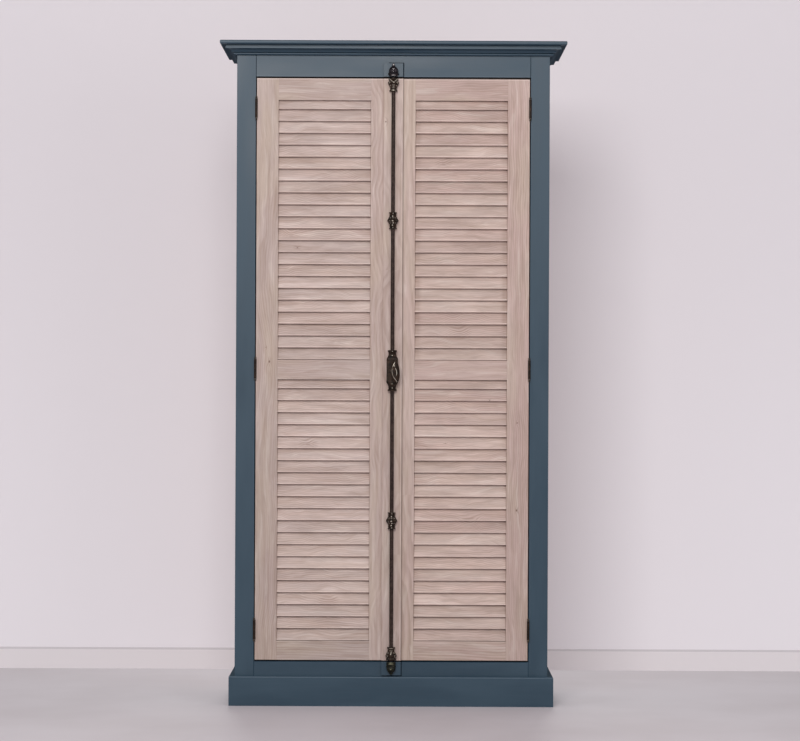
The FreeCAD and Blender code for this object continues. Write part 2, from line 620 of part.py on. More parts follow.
def build_hinges():
    """Three hinges to a door: a leaf and knuckle on the frame, a leaf and knuckle on the door, and a pin."""
    heights = hinge_heights()
    frame_leaves = [hinge_leaf(-OPEN_HALF, 1, z, False) for z in heights]
    door_leaves = [hinge_leaf(LEAF_LEFT, -1, z, True) for z in heights]
    pins = [hinge_pin(z) for z in heights]
    keep("hinge_frame_leaves", *frame_leaves, *[mirrored(s) for s in frame_leaves])
    keep("hinge_pins", *pins, *[mirrored(s) for s in pins])
    keep("left_hinge_leaves", *door_leaves)
    keep("right_hinge_leaves", *[mirrored(s) for s in door_leaves])


# ---------------------------------------------------------------- cremone bolt
def rod_cylinder(radius, z0, z1):
    """A cylinder on the rods' centre line."""
    return Part.makeCylinder(radius, z1 - z0, Vec(0, ROD_Y, z0), Z_AXIS)


def rod_channel(z0, z1):
    """The room that a casting leaves for a rod: round in front and open at the back."""
    radius = ROD_RADIUS + RUNNING_FIT
    return rod_cylinder(radius, z0, z1).fuse(block(-radius, radius, ROD_Y, SEAT_Y, z0, z1)).removeSplitter()


def fitting(steps, foot, upward=True):
    """A casting on the rod: canted like half an octagon in front, flat at the back against its seat.

    The steps give its half outline as (half width, height from its foot), from the foot to the tip.
    """
    sign = 1.0 if upward else -1.0
    sections = []
    for half, height in steps:
        z = foot + sign * height
        cant = half * OCTAGON
        plan = [(-half, SEAT_Y), (-half, ROD_Y - cant), (-cant, ROD_Y - half),
                (cant, ROD_Y - half), (half, ROD_Y - cant), (half, SEAT_Y)]
        sections.append(Part.makePolygon([Vec(x, y, z) for x, y in plan + plan[:1]]))
    return Part.makeLoft(sections, True, True).Solids[0]


def both_ways(lower, height):
    """A half outline and the same again from the other end."""
    return lower + [(half, height - level) for half, level in reversed(lower)]


def mid_guide_steps():
    """Half outline of a rod guide: flange, neck, pointed swelling, neck, flange."""
    lower = [
        (FLANGE_HALF, 0.0),
        (FLANGE_HALF, GUIDE_FLANGE),
        (GUIDE_NECK_HALF, GUIDE_NECK),
        (GUIDE_ROOT_HALF, GUIDE_ROOT),
    ]
    ends = both_ways(lower, GUIDE_HEIGHT)
    return ends[:len(lower)] + [(GUIDE_SWELL_HALF, GUIDE_HEIGHT / 2.0)] + ends[len(lower):]


def end_guide_steps():
    """Half outline of an end guide, from its flange on the rod to its flared crown."""
    return [
        (FLANGE_HALF, 0.0),
        (FLANGE_HALF, END_GUIDE_FLANGE),
        (END_GUIDE_NECK_HALF, END_GUIDE_NECK),
        (END_GUIDE_ROOT_HALF, END_GUIDE_ROOT),
        (END_GUIDE_PETAL_HALF, END_GUIDE_PETAL_LOW),
        (END_GUIDE_PETAL_HALF, END_GUIDE_PETAL_HIGH),
        (END_GUIDE_WAIST_HALF, END_GUIDE_WAIST),
        (END_GUIDE_CROWN_HALF, END_GUIDE_HEIGHT),
    ]


def top_keeper_steps():
    """Half outline of the top keeper: neck, flare, dome and button."""
    return [
        (TOP_KEEPER_NECK_HALF, 0.0),
        (TOP_KEEPER_NECK_HALF, TOP_KEEPER_NECK),
        (TOP_KEEPER_FLARE_HALF, TOP_KEEPER_FLARE_LOW),
        (TOP_KEEPER_FLARE_HALF, TOP_KEEPER_FLARE_HIGH),
        (TOP_KEEPER_DOME_HALF, TOP_KEEPER_DOME),
        (TOP_KEEPER_BELLY_HALF, TOP_KEEPER_BELLY),
        (TOP_KEEPER_SHOULDER_HALF, TOP_KEEPER_SHOULDER),
        (TOP_KEEPER_NIP_HALF, TOP_KEEPER_NIP),
        (TOP_KEEPER_BUTTON_HALF, TOP_KEEPER_BUTTON),
        (KEEPER_TIP_HALF, TOP_KEEPER_HEIGHT),
    ]


def bottom_keeper_steps():
    """Half outline of the bottom keeper: two rings and an acorn."""
    return [
        (BOTTOM_KEEPER_RING_HALF, 0.0),
        (BOTTOM_KEEPER_RING_HALF, BOTTOM_KEEPER_RING),
        (BOTTOM_KEEPER_QUIRK_HALF, BOTTOM_KEEPER_QUIRK_LOW),
        (BOTTOM_KEEPER_QUIRK_HALF, BOTTOM_KEEPER_QUIRK_HIGH),
        (BOTTOM_KEEPER_CUP_HALF, BOTTOM_KEEPER_CUP_LOW),
        (BOTTOM_KEEPER_CUP_HALF, BOTTOM_KEEPER_CUP_HIGH),
        (BOTTOM_KEEPER_BELLY_HALF, BOTTOM_KEEPER_BELLY),
        (BOTTOM_KEEPER_TAPER_HALF, BOTTOM_KEEPER_TAPER),
        (KEEPER_TIP_HALF, BOTTOM_KEEPER_HEIGHT),
    ]


def case_steps():
    """Half outline of the central case: flange, neck, shoulder, straight body and the same again."""
    lower = [
        (CASE_FLANGE_HALF, 0.0),
        (CASE_FLANGE_HALF, CASE_FLANGE),
        (CASE_NECK_HALF, CASE_NECK_LOW),
        (CASE_NECK_HALF, CASE_NECK_HIGH),
        (CASE_HALF_WIDTH - CASE_SHOULDER, CASE_SHOULDER_LOW),
        (CASE_HALF_WIDTH, CASE_SHOULDER_HIGH),
    ]
    return both_ways(lower, CASE_HEIGHT)


def toothed_bar(side, direction):
    """A rack with the foot that joins it to its rod. Its teeth face the pinion.

    side is -1 for the rack left of the pinion and +1 for the one on the right; direction is +1
    when the rod leaves upwards and -1 when it leaves downwards.
    """
    half_tooth = TOOTH_PITCH / 4.0 - RACK_TOOTH_EASE
    slope = math.tan(math.radians(RACK_FLANK_ANGLE))
    tip = half_tooth - slope * (PITCH_RADIUS - RACK_TIP_OFFSET)
    root = half_tooth + slope * (RACK_ROOT_OFFSET - PITCH_RADIUS)
    first = -int(math.ceil(THROW / TOOTH_PITCH)) - 1
    last = 1
    low = first * TOOTH_PITCH - TOOTH_PITCH / 2.0
    outline = [(RACK_OUTER, low), (RACK_ROOT_OFFSET, low)]
    for k in range(first, last + 1):
        z = k * TOOTH_PITCH
        outline.append((RACK_ROOT_OFFSET, z - root))
        outline.append((RACK_TIP_OFFSET, z - tip))
        outline.append((RACK_TIP_OFFSET, z + tip))
        outline.append((RACK_ROOT_OFFSET, z + root))
    foot = FOOT_FROM_CENTRE
    outline += [(RACK_ROOT_OFFSET, foot), (-ROD_RADIUS, foot), (-ROD_RADIUS, foot + FOOT_HEIGHT),
                (RACK_OUTER, foot + FOOT_HEIGHT)]

    def place(w, h):
        return Vec(side * w, ROD_Y - GEAR_HALF, CASE_CENTRE_HEIGHT + direction * h)

    return face_from(outline[0], outline[1:], place).extrude(Vec(0, GEAR_THICK, 0))


def squared_end(y):
    """Squared front end of the spindle, which fills the socket in the knob; y is the back of the knob."""
    half = SQUARE / 2.0
    return block(-half, half, y - SQUARE_LENGTH, y, CASE_CENTRE_HEIGHT - half, CASE_CENTRE_HEIGHT + half)


def pinion():
    """Pinion and spindle in one piece: rear pivot, gear, journal and a squared front end."""
    tooth_angle = 360.0 / PINION_TEETH
    radii = (PITCH_RADIUS - PINION_ROOT_FACTOR * MODULE, PITCH_RADIUS + PINION_TIP_FACTOR * MODULE)
    halves = (tooth_angle * PINION_ROOT_SHARE, tooth_angle * PINION_TIP_SHARE)
    flank = list(zip(radii, halves))
    points = []
    for k in range(PINION_TEETH):
        middle = (k + 0.5) * tooth_angle
        corners = [(r, middle - h) for r, h in flank] + [(r, middle + h) for r, h in reversed(flank)]
        for r, angle in corners:
            points.append(Vec(r * math.cos(math.radians(angle)), ROD_Y - GEAR_HALF,
                              CASE_CENTRE_HEIGHT + r * math.sin(math.radians(angle))))
    gear = Part.Face(Part.makePolygon(points + points[:1])).extrude(Vec(0, GEAR_THICK, 0))
    rear = ROD_Y + GEAR_HALF
    front = ROD_Y - GEAR_HALF
    nose = SEAT_Y - CASE_DEPTH - KNOB_CLEAR
    pivot = Part.makeCylinder(PIVOT_RADIUS, SEAT_Y - PIVOT_END_GAP - rear,
                              Vec(0, rear, CASE_CENTRE_HEIGHT), Y_AXIS)
    journal = Part.makeCylinder(SPINDLE_RADIUS, front - nose, Vec(0, nose, CASE_CENTRE_HEIGHT), Y_AXIS)
    return gear.fuse([pivot, journal, squared_end(nose)]).removeSplitter().Solids[0]


def knob():
    """Oval knob on a round collar, bulged front and back, with its oval cast off the spindle's centre.

    It stands upright when the bolt is drawn back.
    """
    back = SEAT_Y - CASE_DEPTH - KNOB_CLEAR
    collar = Part.makeCylinder(KNOB_COLLAR_RADIUS, KNOB_COLLAR_LENGTH + KNOB_THICK / 2.0,
                               Vec(0, back, CASE_CENTRE_HEIGHT), -Y_AXIS)
    tall = KNOB_LENGTH / 2.0
    wide = KNOB_WIDTH / 2.0
    middle = back - KNOB_COLLAR_LENGTH - KNOB_THICK / 2.0
    oval = face_from((0.0, -tall), [((wide, 0.0), (0.0, tall)), ((-wide, 0.0), (0.0, -tall))],
                     lambda x, z: Vec(x, middle - KNOB_THICK, CASE_CENTRE_HEIGHT + z))
    oval = oval.extrude(Vec(0, 2 * KNOB_THICK, 0))
    bulge = KNOB_THICK / 2.0
    lens = face_from((0.0, -tall), [((bulge, 0.0), (0.0, tall)), ((-bulge, 0.0), (0.0, -tall))],
                     lambda y, z: Vec(-wide, middle + y, CASE_CENTRE_HEIGHT + z))
    body = oval.common(lens.extrude(Vec(2 * wide, 0, 0)))
    body.rotate(Vec(0, middle, CASE_CENTRE_HEIGHT), Y_AXIS, -KNOB_LEAN)
    body.translate(Vec(KNOB_SIDE, 0, -KNOB_DROP))
    return collar.fuse(body).cut(squared_end(back)).Solids[0]


def build_bolt():
    """Cremone bolt: case, back plate, pinion, knob, racks, rods, guides and keepers."""
    centre = CASE_CENTRE_HEIGHT
    half_case = CASE_HEIGHT / 2.0
    case = fitting(case_steps(), centre - half_case)
    wide = CASE_HALF_WIDTH
    flat = CASE_FLAT_HEIGHT / 2.0
    case = case.cut(block(-wide, wide, ROD_Y - 2 * wide, SEAT_Y - CASE_DEPTH, centre - flat, centre + flat))
    cavity = block(-CAVITY_HALF_WIDTH, CAVITY_HALF_WIDTH, SEAT_Y - CASE_DEPTH + CASE_WALL, SEAT_Y,
                   centre - CASE_HALF_CAVITY, centre + CASE_HALF_CAVITY)
    channel = rod_channel(centre - half_case, centre + half_case)
    spindle_bore = Part.makeCylinder(SPINDLE_RADIUS + RUNNING_FIT, CASE_DEPTH,
                                     Vec(0, SEAT_Y - CASE_DEPTH, centre), Y_AXIS)
    keep("bolt_case", case.cut([cavity, channel, spindle_bore]).Solids[0])

    x = CAVITY_HALF_WIDTH - BACK_PLATE_FIT
    z = CASE_HALF_CAVITY - BACK_PLATE_FIT
    plate = block(-x, x, SEAT_Y - BACK_PLATE_THICK, SEAT_Y, centre - z, centre + z)
    pivot_hole = Part.makeCylinder(PIVOT_RADIUS + RUNNING_FIT, BACK_PLATE_THICK,
                                   Vec(0, SEAT_Y - BACK_PLATE_THICK, centre), Y_AXIS)
    keep("bolt_back_plate", plate.cut(pivot_hole))
    keep("drive_pinion", pinion())
    keep("knob", knob())

    keep("upper_rack", toothed_bar(-1, 1))
    keep("lower_rack", toothed_bar(1, -1))
    rod_start = FOOT_FROM_CENTRE + FOOT_HEIGHT
    keep("upper_rod", rod_cylinder(ROD_RADIUS, centre + rod_start, UPPER_TIP))
    keep("lower_rod", rod_cylinder(ROD_RADIUS, LOWER_TIP, centre - rod_start))

    channel = rod_channel(LEAF_BOTTOM, LEAF_TOP)
    guides = [fitting(mid_guide_steps(), height - GUIDE_HEIGHT / 2.0).cut(channel).Solids[0]
              for height in (LOWER_GUIDE_CENTRE, UPPER_GUIDE_CENTRE)]
    keep("rod_guides", *guides)
    reach = END_GUIDE_SET_BACK + END_GUIDE_HEIGHT
    high = fitting(end_guide_steps(), LEAF_TOP - reach)
    low = fitting(end_guide_steps(), LEAF_BOTTOM + reach, upward=False)
    keep("end_guides", high.cut(channel).Solids[0], low.cut(channel).Solids[0])

    socket_radius = ROD_RADIUS + SOCKET_FIT
    foot = OPEN_TOP + KEEPER_SET
    socket = rod_cylinder(socket_radius, foot, UPPER_TIP + THROW + SOCKET_SPARE)
    top_keeper = fitting(top_keeper_steps(), foot).cut(socket).Solids[0]
    foot = OPEN_BOTTOM - KEEPER_SET
    socket = rod_cylinder(socket_radius, LOWER_TIP - THROW - SOCKET_SPARE, foot)
    bottom_keeper = fitting(bottom_keeper_steps(), foot, upward=False).cut(socket).Solids[0]
    keep("bolt_keepers", top_keeper, bottom_keeper)


# ---------------------------------------------------------------- build and write
build_mouldings()
build_carcass()
build_face_frame()
build_shelves()
build_doors()
build_astragal()
build_hinges()
build_bolt()

os.makedirs("parts", exist_ok=True)
for node, solids in NODES.items():
    shape = solids[0] if len(solids) == 1 else Part.makeCompound(solids)
    shape.exportStep(f"parts/{node}.step")
    print(node, len(solids), all(s.isValid() for s in solids), round(shape.Volume / 1000.0, 2))
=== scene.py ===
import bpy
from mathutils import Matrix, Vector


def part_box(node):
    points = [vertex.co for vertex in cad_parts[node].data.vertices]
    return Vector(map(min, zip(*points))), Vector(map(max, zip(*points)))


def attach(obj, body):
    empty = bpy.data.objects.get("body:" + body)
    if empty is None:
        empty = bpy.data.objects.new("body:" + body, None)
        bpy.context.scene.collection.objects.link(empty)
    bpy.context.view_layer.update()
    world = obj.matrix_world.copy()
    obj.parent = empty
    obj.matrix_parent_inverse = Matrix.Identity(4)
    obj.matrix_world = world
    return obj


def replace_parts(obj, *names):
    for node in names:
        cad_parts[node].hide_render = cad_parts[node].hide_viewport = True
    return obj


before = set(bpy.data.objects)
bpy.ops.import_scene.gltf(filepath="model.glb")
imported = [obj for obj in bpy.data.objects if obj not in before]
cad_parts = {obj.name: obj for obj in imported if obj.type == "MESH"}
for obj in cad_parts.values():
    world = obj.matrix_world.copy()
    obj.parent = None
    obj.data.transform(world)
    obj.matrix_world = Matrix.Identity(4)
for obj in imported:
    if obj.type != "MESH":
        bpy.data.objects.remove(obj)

"""Looks of a tall louvred cupboard: painted carcass, limed pine doors and a full-height surface bolt.

Every length is in metres. The front faces -Y, +X is to the right and the floor is at z = 0.
"""

import logging
import math
import random
from dataclasses import dataclass, field, replace
from enum import Enum
from typing import Callable, Sequence

import bpy
from mathutils import Vector

LOG = logging.getLogger("louvred_cupboard")
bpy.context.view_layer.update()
RUB = "rub"
MM = 0.001

Colour = tuple[float, float, float]
Point = tuple[float, float]
Relief = Callable[[float, float], float]
Mesh = bpy.types.Object
Socket = bpy.types.NodeSocket


def srgb(red: int, green: int, blue: int) -> Colour:
    """Turn a colour as a screen shows it into the linear values of a shader.

    Args:
        red: Red from 0 to 255.
        green: Green from 0 to 255.
        blue: Blue from 0 to 255.

    Returns:
        The three linear values from 0 to 1.
    """
    values = []
    for level in (red, green, blue):
        share = level / 255.0
        values.append(share / 12.92 if share <= 0.04045 else ((share + 0.055) / 1.055) ** 2.4)
    return values[0], values[1], values[2]


def smooth(low: float, high: float, value: float) -> float:
    """Smooth step of a value between two limits.

    Args:
        low: Value at which the step starts.
        high: Value at which the step ends.
        value: The value itself.

    Returns:
        A share from 0 to 1.
    """
    share = min(max((value - low) / (high - low), 0.0), 1.0)
    return share * share * (3.0 - 2.0 * share)


class Along(Enum):
    """The way that the grain or the brush runs."""

    WIDTH = "XZY"
    HEIGHT = "ZXY"
    DEPTH = "YZX"


class Boards(Enum):
    """How a shader tells one board from the next."""

    OBJECT = "Object Info"
    ISLAND = "Geometry"


# ---------------------------------------------------------------- shader graphs
class Wire:
    """A value in a material's nodes that can be reckoned with like a number."""

    def __init__(self, graph: "Graph", socket: Socket) -> None:
        """Hold an output socket.

        Args:
            graph: The nodes that it belongs to.
            socket: The output socket.
        """
        self.graph = graph
        self.socket = socket

    def __add__(self, other: "Value") -> "Wire":
        """Add a value."""
        return self.graph.maths("ADD", self, other)

    def __sub__(self, other: "Value") -> "Wire":
        """Take a value away."""
        return self.graph.maths("SUBTRACT", self, other)

    def __rsub__(self, other: "Value") -> "Wire":
        """Take the wire from a value."""
        return self.graph.maths("SUBTRACT", other, self)

    def __mul__(self, other: "Value") -> "Wire":
        """Multiply by a value."""
        return self.graph.maths("MULTIPLY", self, other)

    def __truediv__(self, other: "Value") -> "Wire":
        """Divide by a value."""
        return self.graph.maths("DIVIDE", self, other)

    def __mod__(self, other: "Value") -> "Wire":
        """What is left after division."""
        return self.graph.maths("MODULO", self, other)

    def __gt__(self, other: "Value") -> "Wire":
        """1 where it is the larger, otherwise 0."""
        return self.graph.maths("GREATER_THAN", self, other)

    def __lt__(self, other: "Value") -> "Wire":
        """1 where it is the smaller, otherwise 0."""
        return self.graph.maths("LESS_THAN", self, other)


Value = Wire | float
Tint = Wire | Colour


class Graph:
    """A material's node tree, with short methods for the nodes that the finishes share."""

    def __init__(self, name: str) -> None:
        """Start an empty material.

        Args:
            name: Name of the material.
        """
        self.material = bpy.data.materials.new(name)
        self.material.use_nodes = True
        self.tree = self.material.node_tree
        self.tree.nodes.clear()
        self.output = self.node("OutputMaterial")
        self.shader = self.node("BsdfPrincipled")
        self.feed(self.output.inputs["Surface"], self.shader.outputs["BSDF"])

    def node(self, kind: str) -> bpy.types.Node:
        """A new shader node of one kind."""
        return self.tree.nodes.new(f"ShaderNode{kind}")

    def feed(self, target: Socket, value: object) -> None:
        """Give an input either a link or a plain value.

        Args:
            target: The input socket.
            value: A wire, an output socket, a number or a tuple.
        """
        source = value.socket if isinstance(value, Wire) else value
        if isinstance(source, bpy.types.NodeSocket):
            self.tree.links.new(source, target)
        elif isinstance(source, tuple) and target.type == "RGBA":
            target.default_value = (*source, 1.0)
        else:
            target.default_value = source

    def dress(self, **inputs: object) -> None:
        """Feed inputs of the surface shader, named with underscores for their spaces."""
        for name, value in inputs.items():
            self.feed(self.shader.inputs[name.replace("_", " ")], value)

    def maths(self, operation: str, *values: Value) -> Wire:
        """A Math node.

        Args:
            operation: Name of the operation.
            values: Its values.

        Returns:
            The result.
        """
        node = self.node("Math")
        node.operation = operation
        for target, value in zip(node.inputs, values):
            self.feed(target, value)
        return Wire(self, node.outputs[0])

    def largest(self, first: Value, second: Value) -> Wire:
        """The larger of two values."""
        return self.maths("MAXIMUM", first, second)

    def length(self, first: Wire, second: Wire) -> Wire:
        """Length of the hypotenuse over two values."""
        return self.maths("SQRT", first * first + second * second)

    def step(self, value: Value, low: float, high: float, out_low: float = 0.0, out_high: float = 1.0) -> Wire:
        """A smooth Map Range node.

        Args:
            value: Value to map.
            low: Value that gives out_low.
            high: Value that gives out_high.
            out_low: Result at the low end.
            out_high: Result at the high end.

        Returns:
            The mapped value.
        """
        node = self.node("MapRange")
        node.interpolation_type = "SMOOTHSTEP"
        for name, given in zip(("Value", "From Min", "From Max", "To Min", "To Max"),
                               (value, low, high, out_low, out_high)):
            self.feed(node.inputs[name], given)
        return Wire(self, node.outputs["Result"])

    def swing(self, value: Wire, low: float, high: float, share: float) -> Wire:
        """A factor that swings a share below and above 1 as a value goes from low to high."""
        return self.step(value, low, high, 1.0 - share, 1.0 + share)

    def mix(self, share: Value, first: Tint, second: Tint, blend: str = "MIX") -> Wire:
        """Mix two colours.

        Args:
            share: How much of the second colour, from 0 to 1.
            first: First colour.
            second: Second colour.
            blend: Name of the blend mode.

        Returns:
            The mixed colour.
        """
        node = self.node("Mix")
        node.data_type = "RGBA"
        node.blend_type = blend
        for number, value in ((0, share), (6, first), (7, second)):
            self.feed(node.inputs[number], value)
        return Wire(self, node.outputs[2])

    def triple(self, *parts: Value) -> Wire:
        """Combine values into a vector.

        Args:
            parts: Its three parts.

        Returns:
            The vector.
        """
        node = self.node("CombineXYZ")
        for target, value in zip(node.inputs, parts):
            self.feed(target, value)
        return Wire(self, node.outputs[0])

    def split(self, vector: Socket) -> list[Wire]:
        """Take a vector apart.

        Args:
            vector: The socket that gives it.

        Returns:
            Its three parts.
        """
        node = self.node("SeparateXYZ")
        self.feed(node.inputs[0], vector)
        return [Wire(self, part) for part in node.outputs]

    def here(self, along: Along) -> list[Wire]:
        """Object coordinates in metres, in the order along, across and through the board."""
        parts = dict(zip("XYZ", self.split(self.node("TexCoord").outputs["Object"])))
        return [parts[axis] for axis in along.value]

    def geometry(self, name: str) -> Socket:
        """An output of the Geometry node."""
        return self.node("NewGeometry").outputs[name]

    def rub(self) -> Wire:
        """Read the mark stored on a point of a mesh.

        Returns:
            How pale it is: on the castings metal polished by use, on the slats' noses a painted highlight; below 0,
                painted shade at the slats' ends.
        """
        node = self.node("Attribute")
        node.attribute_name = RUB
        return Wire(self, node.outputs["Fac"])

    def chance(self, boards: Boards) -> Wire:
        """Draw a number for each board.

        Args:
            boards: How the boards are told apart.

        Returns:
            A number from 0 to 1.
        """
        if boards is Boards.OBJECT:
            return Wire(self, self.node("ObjectInfo").outputs["Random"])
        return Wire(self, self.geometry("Random Per Island"))

    def spread(self, chance: Wire, factor: float) -> Wire:
        """Another number from 0 to 1 drawn from a board's own number."""
        return self.maths("FRACT", chance * factor)

    def clouds(self, place: Sequence[Value], detail: float = 3.0, rough: float = 0.55, swirl: float = 0.0,
               scale: float = 1.0) -> Wire:
        """A noise texture from 0 to 1.

        Args:
            place: Three coordinates.
            detail: Octaves of finer noise.
            rough: Strength of the finer octaves.
            swirl: How far the noise curls round itself.
            scale: Scale of the noise.

        Returns:
            The noise.
        """
        node = self.node("TexNoise")
        for name, value in (("Vector", self.triple(*place)), ("Scale", scale), ("Detail", detail),
                            ("Roughness", rough), ("Distortion", swirl)):
            self.feed(node.inputs[name], value)
        return Wire(self, node.outputs[0])

    def relief(self, height: Wire, depth: float, strength: float) -> None:
        """Send a height to the shader's normal through a Bump node.

        Args:
            height: Height from 0 to 1.
            depth: Depth of the relief in metres.
            strength: Strength from 0 to 1.
        """
        node = self.node("Bump")
        for name, value in (("Strength", strength), ("Distance", depth), ("Height", height)):
            self.feed(node.inputs[name], value)
        self.feed(self.shader.inputs["Normal"], node.outputs[0])

    def blend(self, share: Value, first: Socket, second: Socket) -> None:
        """Show one of two shaders, or a share of each, as the material's surface.

        Args:
            share: How much of the second shader, from 0 to 1.
            first: First shader.
            second: Second shader.
        """
        node = self.node("MixShader")
        for target, value in zip(node.inputs, (share, first, second)):
            self.feed(target, value)
        self.feed(self.output.inputs["Surface"], node.outputs[0])


# ---------------------------------------------------------------- finishes
@dataclass(frozen=True)
class Knot:
    """A knot at a stated place: along the grain, across it, its radius, and how dark its heart is."""

    along: float
    across: float
    radius: float
    dark: float = 0.75


@dataclass(frozen=True)
class Seam:
    """A line on the surface, an upright rectangle across x and z: an open joint, painted shade or a painted highlight
    along an arris.

    It goes as far into the board as the y called reach.
    """

    left: float
    right: float
    low: float
    high: float
    share: float = 0.85
    # a pale line is a painted highlight; otherwise the line is dark
    paler: bool = False
    reach: float = 9.0

    def over(self, graph: Graph, along: Along, colour: Wire, dark: Colour, light: Colour) -> tuple[Wire, Wire]:
        """Lay the line over a colour.

        Args:
            graph: The material's nodes.
            along: The way that the board runs.
            colour: The colour beneath.
            dark: Colour of an open joint or of painted shade.
            light: Colour of a painted highlight.

        Returns:
            The new colour, and where the line lies.
        """
        run, across, inward = graph.here(along)
        east, up = (run, across) if along is Along.WIDTH else (across, run)
        inside = east > self.left
        for test in (east < self.right, up > self.low, up < self.high, inward < self.reach):
            inside = inside * test
        return graph.mix(inside * self.share, colour, light if self.paler else dark), inside


@dataclass(frozen=True)
class Spot:
    """Where a point lies on its board, and the numbers that tell the board from its neighbours."""

    run: Wire
    across: Wire
    through: Wire
    chance: Wire
    second: Wire
    third: Wire
    shift: Wire
    here: Wire
    wander: Wire

    @classmethod
    def on(cls, graph: Graph, along: Along, boards: Boards, figure: float) -> "Spot":
        """The point that a shader is at.

        Args:
            graph: The material's nodes.
            along: The way that the grain runs.
            boards: How the boards are told apart.
            figure: How often the pith wanders to and fro in a metre.

        Returns:
            The point.
        """
        run, across, through = graph.here(along)
        chance = graph.chance(boards)
        shift = chance * 31.7
        here = run + shift
        wander = (graph.clouds((here * figure, across * 5.0, shift), 2.0) - 0.5) * 0.062
        return cls(run, across, through, chance, graph.spread(chance, 17.31), graph.spread(chance, 53.77), shift,
                   here, wander)


